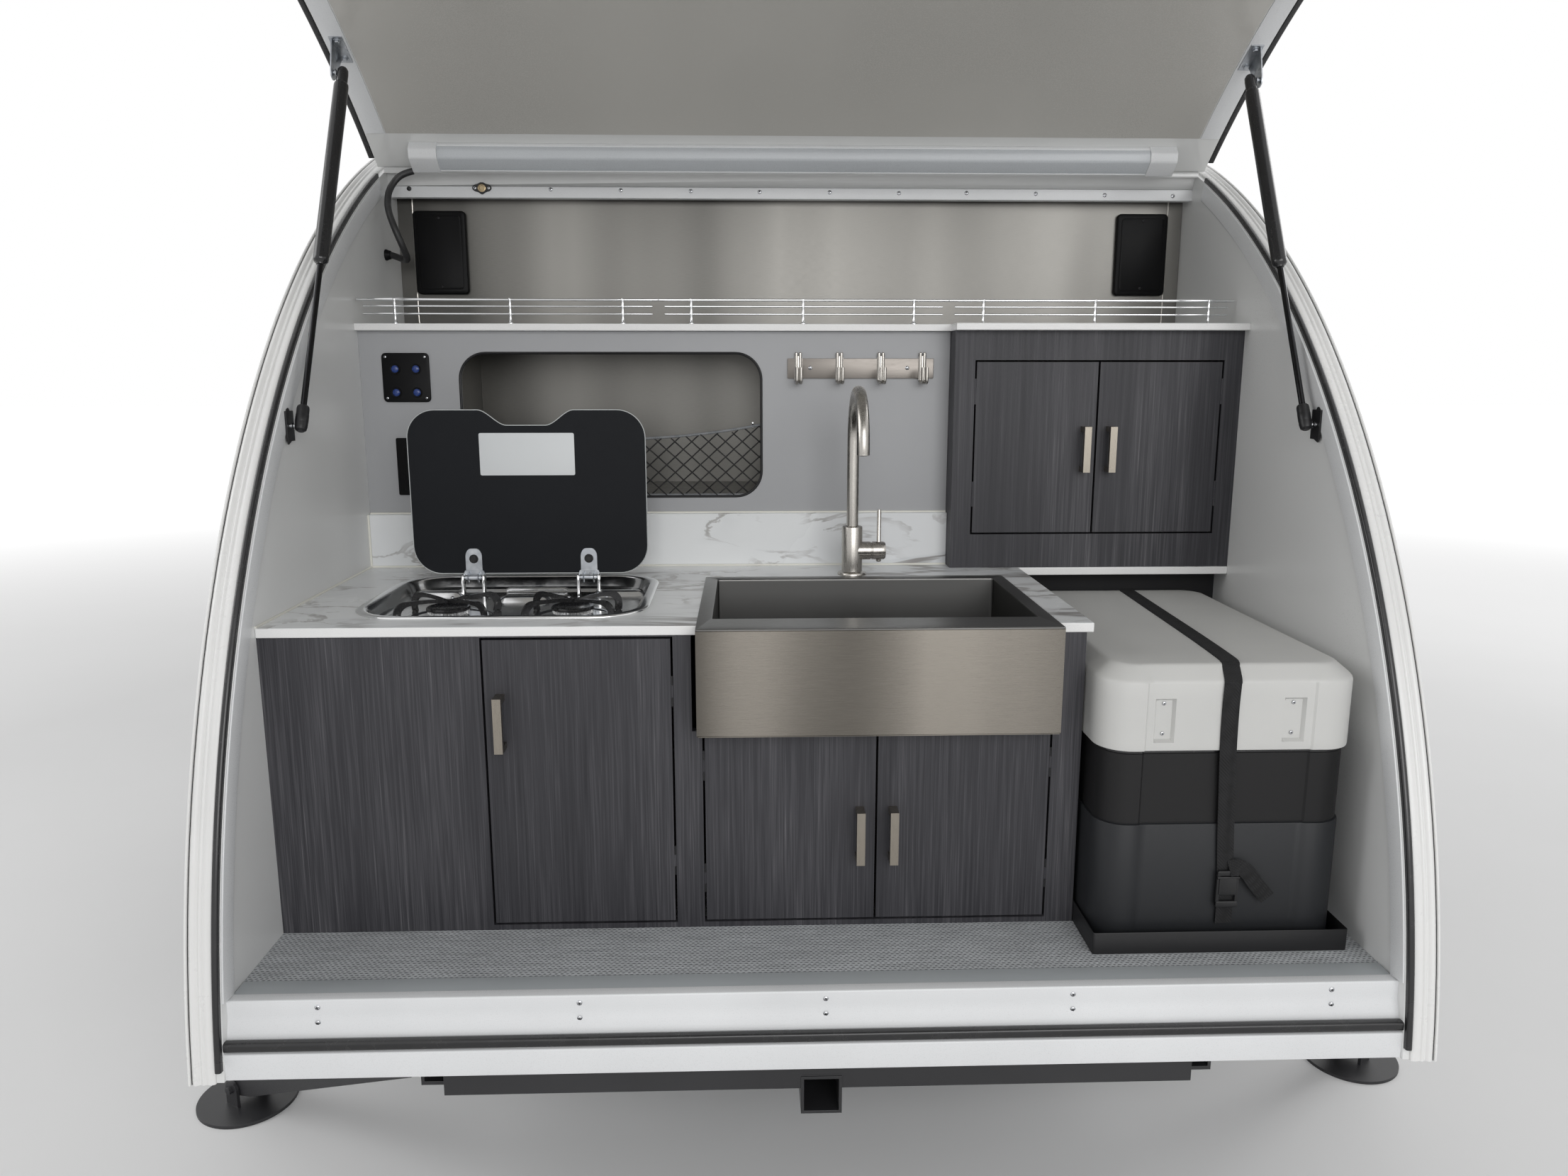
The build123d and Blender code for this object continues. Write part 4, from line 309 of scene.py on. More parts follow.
def drawn_steel(name, colour, rough, grain, band, inside=None):
    """Brushed steel sheet: long fine scratches, and broad upright bands, lighter and darker, that are painted
    reflections of the surroundings. inside gives a height in metres under which the colour is darkened as
    painted shade, and the share of its colour there."""
    paint = Paint(name, colour, rough, 1.0)
    fine = paint.noise(60.0, grain, detail=5.0, rough=0.7)
    # The broad bands lighten and darken the colour: painted reflections of the surroundings in the steel.
    bands = paint.noise(4.6, (1.0, 1.0, 0.06), detail=1.0)
    tone = paint.span(bands * 0.85 + fine * 0.15, 0.36, 0.64)
    base = paint.mix(tone, times(colour, 1 - band), times(colour, 1 + band))
    # Below the height in inside the colour is darkened: painted shade.
    if inside:
        under = paint.span(paint.along("Z"), inside[0] - 0.002, inside[0], 1.0, 0.0)
        base = paint.mix(under, base, times(colour, inside[1]))
    gloss = paint.span(fine * 0.6 + bands * 0.4, 0.3, 0.7, rough * 0.75, rough * 1.25)
    return paint.finished(base, gloss, fine, 0.00002)


def two_tone(name, low, high, split, rough=0.5):
    """Moulded plastic whose colour changes at a seam, given as a height in metres, with a fine even grain."""
    paint = Paint(name, low, rough, Specular_IOR_Level=0.3)
    grit = paint.noise(900.0)
    grain = paint.span(grit, 0.3, 0.7, 0.0, 0.25)
    lower, upper = (paint.mix(grain, colour, times(colour, 1.6)) for colour in (low, high))
    seam = paint.span(paint.along("Z"), split - 0.001, split + 0.001)
    base = paint.mix(seam, lower, upper)
    return paint.finished(base, paint.span(grit, 0.3, 0.7, rough - 0.06, rough + 0.1), grit, 0.00006)


def lining(name, colour, rough, coat):
    """Thin lining sheet with a soft satin gloss, faint long waves and a fine texture."""
    paint = Paint(name, colour, rough, Coat_Weight=coat, Coat_Roughness=0.25)
    waves, grain = paint.noise(2.2, (1, 1, 0.5)), paint.noise(500.0)
    base = paint.mix(paint.span(waves, 0.35, 0.7), colour, times(colour, 0.9))
    gloss = paint.span(waves * 0.6 + grain * 0.4, 0.3, 0.7, rough * 0.85, rough * 1.3)
    return paint.finished(base, gloss, waves * 0.85 + grain * 0.15, 0.0006)


def tinted_glass(name, colour=(0.02, 0.023, 0.026)):
    """Dark glazing: glossy, with a soft film of dust."""
    paint = Paint(name, colour, 0.05, Coat_Weight=0.3)
    film = paint.noise(9.0, detail=4.0, warp=0.5)
    base = paint.mix(paint.span(film, 0.5, 0.8), colour, tuple(part + 0.02 for part in colour))
    return paint.finished(base, paint.span(film, 0.35, 0.7, 0.03, 0.14))


# Materials that are called otherwise than their finish
MATERIAL_NAME = {"marble": "marble_laminate", "charcoal": "charcoal_laminate", "nickel": "brushed_nickel",
                 "zinc": "zinc_plate", "steel": "bright_steel", "black steel": "black_chassis_paint",
                 "webbing": "black_webbing", "alloy": "wheel_alloy", "diffuser": "light_diffuser",
                 "label": "blank_label", "threshold": "threshold_strip", "caulk": "silicone_bead"}

# Each maker's finishes, with what it takes after the name
FINISH = {}
for maker, rows in (
    (gloss_paint, {"shell white": ((0.76, 0.765, 0.76),),
                   "hatch white": ((0.74, 0.745, 0.735), 0.13, 0.5),
                   "trim white": ((0.8, 0.8, 0.79), 0.3, 0.1, 0.000003),
                   "cylinder white": ((0.72, 0.72, 0.7), 0.3)}),
    (satin_paint, {"frame white": ((0.74, 0.75, 0.76), 0.32, 0.04),
                   "bulkhead grey": ((0.36, 0.365, 0.377), 0.42, 0.03),
                   "black steel": ((0.022, 0.022, 0.024), 0.42, 0.2, 0.5, 700.0, 0.00005),
                   "black satin": ((0.014, 0.014, 0.015), 0.38, 0.15, 0.35),
                   "black matt": ((0.012, 0.012, 0.013), 0.62, 0.15, 0.2),
                   "pale plastic": ((0.56, 0.56, 0.545), 0.46, 0.04, 0.5, 900.0, 0.00005),
                   "lid glass": ((0.008, 0.009, 0.011), 0.52, 0.1, 0.13, 300.0, 0.000005),
                   "diffuser": ((0.57, 0.595, 0.62), 0.3, 0.02),
                   "label": ((0.64, 0.66, 0.67), 0.5, 0.02),
                   "button blue": ((0.02, 0.05, 0.22), 0.25, 0.2),
                   "border grey": ((0.3, 0.31, 0.31), 0.4, 0.04),
                   "black enamel": ((0.012, 0.012, 0.013), 0.22, 0.2, 0.5, 300.0, 0.00001),
                   "ground edge": ((0.45, 0.47, 0.47), 0.3, 0.05),
                   "black plastic": ((0.005, 0.005, 0.0055), 0.45, 0.2, 0.13, 900.0),
                   "gloss black": ((0.014, 0.014, 0.015), 0.2, 0.2, 0.5, 300.0, 0.00001),
                   "edge white": ((0.8, 0.8, 0.795), 0.3, 0.02),
                   "threshold": ((0.4, 0.425, 0.44), 0.4, 0.05),
                   "caulk": ((0.76, 0.75, 0.69), 0.35, 0.03)}),
    # The band values of these steels set painted reflections: broad lighter and darker upright bands.
    (drawn_steel, {"inner sheet": ((0.155, 0.151, 0.141), 0.38, (1, 1, 30), 0.42),
                   "apron steel": ((0.215, 0.198, 0.174), 0.27, (0.6, 20, 60), 0.42),
                   # The bowl steel's colour is cut to 0.35 below 0.9645 m: painted shade inside the basin.
                   "bowl steel": ((0.22, 0.218, 0.212), 0.36, (1, 8, 30), 0.15, (0.9645, 0.35))}),
    (lining, {"wall lining": ((0.78, 0.785, 0.78), 0.3, 0.2),
              # The hatch lining is the hatch's white gel coat made a darker warm grey: painted shade on the
              # underside.
              "hatch lining": ((0.52, 0.507, 0.475), 0.24, 0.35)}),
    (marble, {"marble": ()}),
    (woodgrain, {"charcoal": ()}),
    (brushed, {"sink steel": ((0.55, 0.56, 0.57), (0.5, 12, 25), 0.28),
               "nickel": ((0.46, 0.44, 0.41), (12, 12, 1), 0.27),
               "alloy": ((0.62, 0.63, 0.64), (1, 1, 1), 0.24),
               "pull nickel": ((0.3, 0.272, 0.232), (12, 12, 1), 0.3),
               "rack grey": ((0.2, 0.184, 0.168), (1, 12, 12), 0.34)}),
    (polished, {"chrome": ((0.8, 0.81, 0.82), 0.05, 0.06),
                "pan steel": ((0.78, 0.785, 0.79), 0.09, 0.14),
                "steel": ((0.55, 0.56, 0.58), 0.16, 0.15),
                "rod black": ((0.035, 0.035, 0.037), 0.12, 0.08),
                "brass": ((0.34, 0.27, 0.17), 0.25)}),
    (galvanised, {"zinc": ((0.6, 0.62, 0.64),)}),
    (rubber, {"black rubber": ((0.018, 0.018, 0.019), 0.22),
              "cable black": ((0.018, 0.018, 0.019), 0.4),
              "tyre rubber": ((0.024, 0.024, 0.025), 0.7)}),
    (two_tone, {"slate plastic": ((0.0145, 0.0155, 0.0175), (0.0075, 0.0073, 0.0078), 0.6705)}),
    (basket, {"floor weave": ((0.12, 0.125, 0.133), (0.57, 0.59, 0.61))}),
    (woven, {"webbing": ((0.012, 0.012, 0.0125), (0.022, 0.022, 0.023), 0.0013, 0.00015),
             "net cord": ((0.014, 0.014, 0.015), (0.05, 0.05, 0.05), 0.001, 0.0002),
             "grey cord": ((0.16, 0.17, 0.18), (0.3, 0.31, 0.32), 0.001, 0.0002)}),
    (tinted_glass, {"dark glass": (),
                    "lamp red": ((0.35, 0.008, 0.006),)})):
    for finish, values in rows.items():
        FINISH[finish] = maker(MATERIAL_NAME.get(finish, finish.replace(" ", "_")), *values)

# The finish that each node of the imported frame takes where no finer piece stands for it
NODE_FINISH = {node: finish for finish, nodes in {
    "black steel": "axle chassis coupler stabiliser_left stabiliser_right",
    "black rubber": "body_seal hatch_edge",
    "bulkhead grey": "bulkhead",
    "black matt": "burners",
    "charcoal": "cabinet_door cabinets sink_door_left sink_door_right upper_door_left upper_door_right",
    "net cord": "cargo_net",
    "slate plastic": "cooler_body",
    "pale plastic": "cooler_lid",
    "webbing": "cooler_strap",
    "black satin": "cooler_tray fenders strut_tube_left strut_tube_right wall_brackets wall_fittings",
    "marble": "countertop shelf",
    "dark glass": "door_glass_left door_glass_right front_window",
    "shell white": "door_left door_right roof wall_left wall_right",
    "trim white": "edge_trim",
    "nickel": "faucet hook_rack",
    "floor weave": "floor",
    "chrome": "gallery_rails",
    "cylinder white": "gas_cylinder",
    "hatch white": "hatch",
    "zinc": "hatch_brackets lid_hinges tongue_jack",
    "lid glass": "hob_lid",
    "pan steel": "hob_tray",
    "inner sheet": "inner_wall",
    "diffuser": "light_bar",
    "frame white": "opening_frame",
    "alloy": "rim_left rim_right",
    "sink steel": "sink",
    "rod black": "strut_rod_left strut_rod_right",
    "lamp red": "tail_lamps",
    "tyre rubber": "tyre_left tyre_right",
    "cable black": "bar_cable",
}.items() for node in nodes.split()}
for node, finish in NODE_FINISH.items():
    for index in range(len(NODES[node].data.materials)):
        NODES[node].data.materials[index] = FINISH[finish]


# Shapes
def grid(points, around=False, ends=False):
    """Quads between neighbours of a grid of points; around joins the last column to the first,
    and ends closes the first and last row with one face each."""
    rows, columns = points.shape[:2]
    index = np.arange(rows * columns).reshape(rows, columns)
    left, right = (index, np.roll(index, -1, axis=1)) if around else (index[:, :-1], index[:, 1:])
    faces = np.stack([left[:-1], right[:-1], right[1:], left[1:]], axis=-1).reshape(-1, 4).tolist()
    if ends:
        faces += [index[0][::-1].tolist(), index[-1].tolist()]
    return points.reshape(-1, 3), faces


def joined(*forms):
    """Several forms as one."""
    points, faces, count = [], [], 0
    for form_points, form_faces in forms:
        points.append(form_points)
        faces += [[corner + count for corner in face] for face in form_faces]
        count += len(form_points)
    return np.concatenate(points), faces


def copies(form, places):
    """The same form moved to several places."""
    points, faces = form
    places = np.asarray(places, float)
    count = len(points)
    every = (points[None] + places[:, None]).reshape(-1, 3)
    return every, [[corner + step * count for corner in face]
                   for step in range(len(places)) for face in faces]


def moved(form, shift):
    """A form at another place."""
    return form[0] + np.asarray(shift, float), form[1]


def spun(form, turn):
    """A form turned about the z axis."""
    spin = np.array([[math.cos(turn), math.sin(turn), 0], [-math.sin(turn), math.cos(turn), 0], Z])
    return form[0] @ spin, form[1]


def placed(form, origin, across=X, up=Z):
    """A form drawn with x across, y up and z outwards, set on a surface at an origin; the surface faces the
    rear unless across and up say otherwise."""
    across, up = (np.asarray(v, float) / np.linalg.norm(v) for v in (across, up))
    basis = np.stack([across, up, np.cross(across, up)])
    return form[0] @ basis + np.asarray(origin, float), form[1]


def at_each(form, places, across=X, up=Z):
    """The same form set on a surface at several places."""
    return joined(*(placed(form, place, across, up) for place in places))


def circle(steps):
    """Points of a circle of radius 1."""
    turn = np.linspace(0, 2 * math.pi, steps, endpoint=False)
    return np.stack([np.cos(turn), np.sin(turn)], axis=-1)


def rounded(width, tall, radius, steps=8):
    """Closed outline of a rectangle with round corners: a quarter circle about each corner's centre."""
    turn = np.linspace(0, math.pi / 2, steps)[None] + np.arange(4)[:, None] * math.pi / 2
    sign = np.array([[1, 1], [-1, 1], [-1, -1], [1, -1]])
    centre = sign * np.array([width / 2 - radius, tall / 2 - radius])
    ring = centre[:, None] + radius * np.stack([np.cos(turn), np.sin(turn)], axis=-1)
    return ring.reshape(-1, 2)


def nested(rings):
    """A closed shell through rings of the same count of points, each given as (outline, height)."""
    stack = [np.column_stack([ring, np.full(len(ring), float(height))]) for ring, height in rings]
    return grid(np.stack(stack), around=True, ends=True)


def plate(width, tall, radius, thick, edge=0.8, low=0.0, steps=8):
    """A flat plate with round corners and softened edges, from height low upwards."""
    high = low + thick
    rows = ((edge, low), (0, low + edge), (0, high - edge), (edge * 0.3, high - edge * 0.3), (edge, high))
    return nested([(rounded(width - 2 * inset, tall - 2 * inset, max(radius - inset, 0.05), steps), height)
                   for inset, height in rows])


def turned(profile, steps=32, hollow=False):
    """A profile of (radius, height) turned about the z axis; radius 0 at an end closes it in a pole,
    and a hollow one closes on itself round a hole."""
    profile = np.asarray(profile + profile[:1] if hollow else profile, float)
    flat = profile[:, None, :1] * circle(steps)[None]
    points = np.concatenate([flat, np.repeat(profile[:, None, 1:], steps, axis=1)], axis=-1)
    return grid(points, around=True, ends=not hollow)


def spline(points, per_span=8):
    """A smooth line through points: Catmull-Rom, each span sampled evenly."""
    points = np.asarray(points, float)
    padded = np.concatenate([2 * points[:1] - points[1:2], points, 2 * points[-1:] - points[-2:-1]])
    t = np.linspace(0, 1, per_span, endpoint=False)[None, :, None]
    a, b, c, d = (padded[i:len(padded) - 3 + i][:, None] for i in range(4))
    line = 0.5 * (2 * b + (c - a) * t + (2 * a - 5 * b + 4 * c - d) * t**2 + (3 * b - a - 3 * c + d) * t**3)
    return np.concatenate([line.reshape(-1, points.shape[1]), points[-1:]])


def tube(path, radius, steps=12, closed=False, flat=1.0, side=(0, 0, 1)):
    """A round or flattened bar along a line: a circle of the radius set square to the line at each point,
    its sides kept to a fixed direction."""
    path = np.asarray(path, float)
    run = np.gradient(path, axis=0) if not closed else np.roll(path, -1, 0) - np.roll(path, 1, 0)
    run /= np.linalg.norm(run, axis=1, keepdims=True)
    first = np.cross(run, np.asarray(side, float))
    length = np.linalg.norm(first, axis=1, keepdims=True)
    first = np.where(length > 0.05, first, np.cross(run, (1.0, 0.3, 0.1)))
    first /= np.linalg.norm(first, axis=1, keepdims=True)
    second = np.cross(run, first)
    radius = np.broadcast_to(np.asarray(radius, float), (len(path),))[:, None, None]
    cos, sin = circle(steps).T[..., None]
    points = path[:, None] + radius * (cos * first[:, None] + flat * sin * second[:, None])
    if closed:
        points = np.concatenate([points, points[:1]])
    return grid(points, around=True, ends=not closed)


def screw(radius):
    """Pan head with a crossed recess: a low dome, and a thin cross on its top that is shown black
    as painted shade of the recess.
    """
    tall = 2.0
    dome = turned([(radius, 0), (radius, tall * 0.35), (radius * 0.8, tall * 0.8), (radius * 0.45, tall),
                   (0.01, tall)], 16)
    # The cross is shown black: painted shade of the recess.
    recess_shade = plate(radius * 1.1, radius * 0.24, radius * 0.05, 0.3, 0.05, tall - 0.05, 2)
    return dome, joined(recess_shade, spun(recess_shade, math.pi / 2))


def hex_head(radius, tall):
    """Six-sided bolt head with a washer under it and a faint crown."""
    ring = circle(6)
    head = nested([(ring * radius, 1.0), (ring * radius, tall - 0.6), (ring * radius * 0.88, tall)])
    washer = turned([(0.01, 0), (radius * 1.35, 0), (radius * 1.35, 1.0), (0.01, 1.0)], 24)
    return joined(washer, head)


def cleaned(mesh, merge, outwards=False, flat=False):
    """Merges corners nearer than a distance in metres, turns the faces outwards or joins flat ones."""
    clean = bmesh.new()
    clean.from_mesh(mesh)
    bmesh.ops.remove_doubles(clean, verts=clean.verts, dist=merge)
    if outwards:
        bmesh.ops.recalc_face_normals(clean, faces=clean.faces)
    if flat:
        bmesh.ops.dissolve_limit(clean, angle_limit=math.radians(1.0), verts=clean.verts, edges=clean.edges)
    clean.to_mesh(mesh)
    clean.free()


def hung(name, mesh, smooth, bevel, body, node=None):
    """Shows a mesh with smooth shading up to an angle in degrees and edges rounded by millimetres. It rides
    on a body when one is given, and stands for a node."""
    mesh.shade_smooth()
    mesh.set_sharp_from_angle(angle=math.radians(smooth))
    made = shown(name, mesh)
    if bevel:
        rounding = made.modifiers.new("softened_edges", "BEVEL")
        rounding.width, rounding.segments, rounding.limit_method = bevel / 1000.0, 2, "ANGLE"
        rounding.angle_limit = math.radians(40.0)
        rounding.harden_normals = True
    if body:
        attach(made, BODY_OF.get(node, body))
    if node:
        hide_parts(node)
    return made


def piece(name, form, finish, node=None, body="trailer", bevel=0.0, smooth=35.0):
    """Makes a mesh of a form in galley millimetres. It rides on the body of the node it stands for."""
    name = name + "_shape" if name in NODES else name
    mesh = bpy.data.meshes.new(name)
    mesh.from_pydata(metres(form[0]).tolist(), [], form[1])
    cleaned(mesh, 1e-6, outwards=True)
    mesh.materials.append(FINISH[finish])
    return hung(name, mesh, smooth, bevel, body, node)


def dressed(node, bevel=0.0, extra=None, smooth=30.0):
    """A merged and smoothly shaded copy of a frame node, with softened edges, stands for it.
    extra gives a second finish and a test on face centres in galley millimetres."""
    mesh = NODES[node].data.copy()
    mesh.name = node + "_dressed"
    cleaned(mesh, 2e-5, flat=bool(bevel))
    mesh.materials.clear()
    mesh.materials.append(FINISH[NODE_FINISH[node]])
    if extra:
        finish, test = extra
        mesh.materials.append(FINISH[finish])
        centres = np.zeros(len(mesh.polygons) * 3, np.float32)
        mesh.polygons.foreach_get("center", centres)
        chosen = test(centres.reshape(-1, 3) * 1000.0 - SHIFT)
        mesh.polygons.foreach_set("material_index", chosen.astype(np.int32))
    made = hung(node + "_dressed", mesh, smooth, bevel, BODY_OF[node], node)
    if bevel:
        shading = made.modifiers.new("even_shading", "WEIGHTED_NORMAL")
        shading.weight, shading.keep_sharp = 100, True


# Cable of the light bar
CABLE_ROUTE = [
    (-770.2, 737, 1263.7), (-790, 735, 1259), (-807, 732, 1245), (-818, 722, 1222), (-816, 704, 1198),
    (-808, 681, 1180), (-798, 662, 1161), (-788, 657, 1136), (-781, 664, 1114), (-779, 680, 1098),
    (-782, 700, 1090), (-792, 720, 1089), (-807, 734, 1095), (-826.5, 740, 1101.5),
]
curve = bpy.data.curves.new("bar_cable_line", "CURVE")
curve.dimensions = "3D"
line = curve.splines.new("NURBS")
line.points.add(len(CABLE_ROUTE) - 1)
for point, place in zip(line.points, metres(CABLE_ROUTE)):
    point.co = (*place, 1.0)
line.order_u = 3
line.use_endpoint_u = True
curve.resolution_u = 8
route = shown("bar_cable_route", curve)
bpy.context.view_layer.update()
route_mesh = bpy.data.meshes.new_from_object(route)
cable_line = np.zeros(len(route_mesh.vertices) * 3)
route_mesh.vertices.foreach_get("co", cable_line)
cable_line = cable_line.reshape(-1, 3)
bpy.data.objects.remove(route)
bpy.data.meshes.remove(route_mesh)
cable = piece("light_bar_cable", tube(cable_line * 1000.0 - SHIFT, 6.5, 18), "cable black", "bar_cable",
              body=None, smooth=80)
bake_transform(cable)


# Floor, light and background
ground = bpy.data.meshes.new("ground")
ground.from_pydata([(-40, -40, 0), (40, -40, 0), (40, 40, 0), (-40, 40, 0)], [], [(0, 1, 2, 3)])
floor = shown("studio_floor", ground)
floor_paint = Paint("studio_floor", (0.80, 0.80, 0.80), 0.85, Emission_Strength=1.0, Specular_IOR_Level=0.2)
far = floor_paint.node("VectorMath", {"operation": "LENGTH"}, [floor_paint.place], out=1)
seen_straight = floor_paint.node("LightPath", out="Is Camera Ray")
seen_glossy = floor_paint.node("LightPath", out="Is Glossy Ray")
fading = floor_paint.span(far, 3.0, 8.5) * floor_paint.span(seen_straight + seen_glossy, 0.0, 1.0)
pale = floor_paint.mix(floor_paint.noise(2.0), (0.80, 0.80, 0.80), (0.83, 0.83, 0.83))
floor_paint.set(Base_Color=floor_paint.mix(fading, pale, (0.0, 0.0, 0.0)))
floor_paint.set(Emission_Color=floor_paint.mix(fading, (0.0, 0.0, 0.0), (1.0, 1.0, 1.0)))
ground.materials.append(floor_paint.material)

world = bpy.data.worlds.new("studio")
world.use_nodes = True
bpy.context.scene.world = world
nodes, links = world.node_tree.nodes, world.node_tree.links
background = nodes["Background"]
background.inputs["Color"].default_value = (1.0, 1.0, 1.0, 1.0)
rays, first, second, strength = (nodes.new("ShaderNode" + kind)
                                 for kind in ("LightPath", "Math", "Math", "MapRange"))
first.operation = second.operation = "MAXIMUM"
strength.inputs["To Min"].default_value, strength.inputs["To Max"].default_value = 0.46, 1.0
for output, socket in ((rays.outputs["Is Camera Ray"], first.inputs[0]),
                       (rays.outputs["Is Transmission Ray"], first.inputs[1]),
                       (first.outputs[0], second.inputs[0]),
                       (rays.outputs["Is Glossy Ray"], second.inputs[1]),
                       (second.outputs[0], strength.inputs["Value"]),
                       (strength.outputs["Result"], background.inputs["Strength"])):
    links.new(output, socket)


def soft_box(name, place, aim, size, power):
    """A broad lamp that faces a point."""
    data = bpy.data.lights.new(name, "AREA")
    data.shape, data.size, data.size_y, data.energy = "RECTANGLE", size[0], size[1], power
    towards = np.array(aim) - np.array(place)
    lamp = shown(name, data)
    lamp.location = place
    lamp.rotation_euler = (math.atan2(math.hypot(*towards[:2]), -towards[2]), 0.0,
                           math.atan2(-towards[0], towards[1]))


soft_box("front_box", (1.0, -6.2, 2.6), (0.0, -1.0, 1.0), (4.0, 2.6), 124.0)
soft_box("left_box", (-5.5, -1.5, 3.4), (0.0, 0.0, 0.8), (3.5, 3.0), 90.0)
soft_box("right_box", (5.5, 1.5, 3.6), (0.0, 0.2, 0.8), (3.5, 3.0), 80.0)
soft_box("nose_box", (1.5, 6.5, 3.2), (0.0, 1.5, 0.8), (3.5, 3.0), 80.0)

bpy.context.scene.view_settings.view_transform = "Standard"


def heading(slopes):
    """Directions in side view at slopes in degrees: the sine forward and the cosine up."""
    turn = np.radians(slopes)
    return np.stack([np.sin(turn), np.cos(turn)], axis=-1)


# Side outline of the body: centres, radii and slopes of its arcs in galley millimetres
ROOF_C, ROOF_R, ROOF_TURN = np.array([1513.0, -405.0]), 1830.0, 35.2
TAIL_R, TAIL_END = 1620.0, 84.9
TAIL_C = ROOF_C + (ROOF_R - TAIL_R) * heading(-ROOF_TURN)
BROW_C, BROW_R, BROW_TURN = np.array([1513.0, -175.0]), 1600.0, 48.0
NOSE_R, NOSE_CORNER, SKIRT = 800.0, 60.0, -107.0
NOSE_C = BROW_C + (BROW_R - NOSE_R) * heading(BROW_TURN)
SWING = math.radians(62.0)


def rear_line(slopes, grow=0.0):
    """Points and normals of the rear outline at slopes in degrees: centre + (radius + grow) * normal."""
    normal = heading(-np.asarray(slopes))
    on_roof = (np.asarray(slopes) <= ROOF_TURN)[..., None]
    centre, radius = np.where(on_roof, ROOF_C, TAIL_C), np.where(on_roof, ROOF_R, TAIL_R)
    return centre + (radius + grow) * normal, normal


HINGE = rear_line(24.0, 17.0)[0]


def opened(points):
    """Closed places of the hatch, as (y, z), turned about the hinge to where they stand open."""
    points = np.asarray(points, float) - HINGE
    turn = np.array([[math.cos(SWING), -math.sin(SWING)], [math.sin(SWING), math.cos(SWING)]])
    return points @ turn + HINGE


def whole_line():
    """Points and normals of the body's edge from the tail's foot over the roof to the nose's foot."""
    tail, tail_n = rear_line(np.linspace(TAIL_END, ROOF_TURN, 40))
    roof, roof_n = rear_line(np.linspace(ROOF_TURN, 0, 30)[1:])
    foot = tail[:1] - (tail[:1, 1:] - SKIRT) * np.array([0.09, 1.0])
    points, normals = [foot, tail, roof], [tail_n[:1], tail_n, roof_n]
    for centre, radius, start, end in ((BROW_C, BROW_R, 0, BROW_TURN), (NOSE_C, NOSE_R, BROW_TURN, 90)):
        normal = heading(np.linspace(start, end, 26)[1:])
        points.append(centre + radius * normal)
        normals.append(normal)
    normal = heading(np.linspace(90, 180, 10))
    points.append((NOSE_C[0] + NOSE_R - NOSE_CORNER, SKIRT + NOSE_CORNER) + NOSE_CORNER * normal)
    normals.append(normal)
    return np.concatenate(points), np.concatenate(normals)


def in_x(line, x=0):
    """Points of (y, z) set at an x."""
    return np.column_stack([np.full(len(line), float(x)), line])


def in_y(line, y):
    """Points of (x, z) set at a y."""
    return np.column_stack([line[:, 0], np.full(len(line), float(y)), line[:, 1]])


def both(form):
    """A form and its mirror image on the other side of the trailer."""
    return joined(form, (form[0] * (-1.0, 1.0, 1.0), form[1]))


def strip(profile, line, normal):
    """A closed profile of (x, out) carried along a line of the side view, out along the line's normals."""
    profile = np.asarray(profile, float)
    points = in_x(line)[:, None] + profile[None, :, :1] * X + profile[None, :, 1:] * in_x(normal)[:, None]
    return grid(points, around=True, ends=True)


def section(profile, low, high):
    """A closed profile of (y, z) drawn out straight from one x to another."""
    profile = np.asarray(profile, float)
    return grid(np.stack([in_x(profile, low), in_x(profile, high)]), around=True, ends=True)


def softened(corners, radius, steps=4):
    """Closed polygon with each corner cut by an arc: a quadratic curve between two points near it."""
    corners = np.asarray(corners, float)
    before, after = np.roll(corners, 1, axis=0) - corners, np.roll(corners, -1, axis=0) - corners
    sizes = [np.linalg.norm(side, axis=1, keepdims=True) for side in (before, after)]
    cut = np.minimum(np.broadcast_to(np.asarray(radius, float).reshape(-1, 1), sizes[0].shape),
                     np.minimum(*sizes) * 0.45)
    start, end = corners + before / sizes[0] * cut, corners + after / sizes[1] * cut
    t = np.linspace(0, 1, steps)[None, :, None]
    curve_points = (1 - t) ** 2 * start[:, None] + 2 * t * (1 - t) * corners[:, None] + t**2 * end[:, None]
    return curve_points.reshape(-1, 2)


def slab(outline, thick, edge=0.4):
    """A flat piece of any outline: the outline at four heights, drawn in a little at both faces."""
    outline = np.asarray(outline, float)
    inward = outline - edge * (outline - outline.mean(axis=0)) / np.linalg.norm(
        outline - outline.mean(axis=0), axis=1, keepdims=True).clip(1.0)
    return nested([(inward, 0), (outline, edge), (outline, thick - edge), (inward, thick)])


# Edge trims: a cap with a flat, a narrow rib, a broad rib and a seam, and a leg down the wall
def trim_profile():
    """Across and out of the trim: each rib is half a sine wave between its two feet on the cap."""
    wave = np.linspace(0, 1, 9)
    rows = ((849.4, 859.2, 4.2, 0.9), (860.6, 867.0, 4.0, 1.9), (868.6, 879.6, 3.8, 3.2))
    ribs = [np.column_stack([low + (high - low) * wave, foot + rise * np.sin(math.pi * wave)])
            for low, high, foot, rise in rows]
    outer = [(880.1, 2.4), (881.1, 2.4), (881.4, 5.8), (882.2, 6.6), (884.0, 6.4), (885.5, 4.6),
             (885.5, -25.0), (884.6, -26.0), (882.0, -26.0), (882.0, 0.0), (848.0, 0.0), (848.0, 3.0)]
    return np.concatenate([*ribs, outer])


EDGE_LINE, EDGE_NORMAL = whole_line()
piece("edge_trim", both(strip(trim_profile(), EDGE_LINE, EDGE_NORMAL)), "trim white", "edge_trim")
insert = [(880.2, 2.5), (881.0, 2.5), (881.0, 3.4), (880.2, 3.4)]
piece("trim_insert", both(strip(insert, EDGE_LINE, EDGE_NORMAL)), "black rubber")

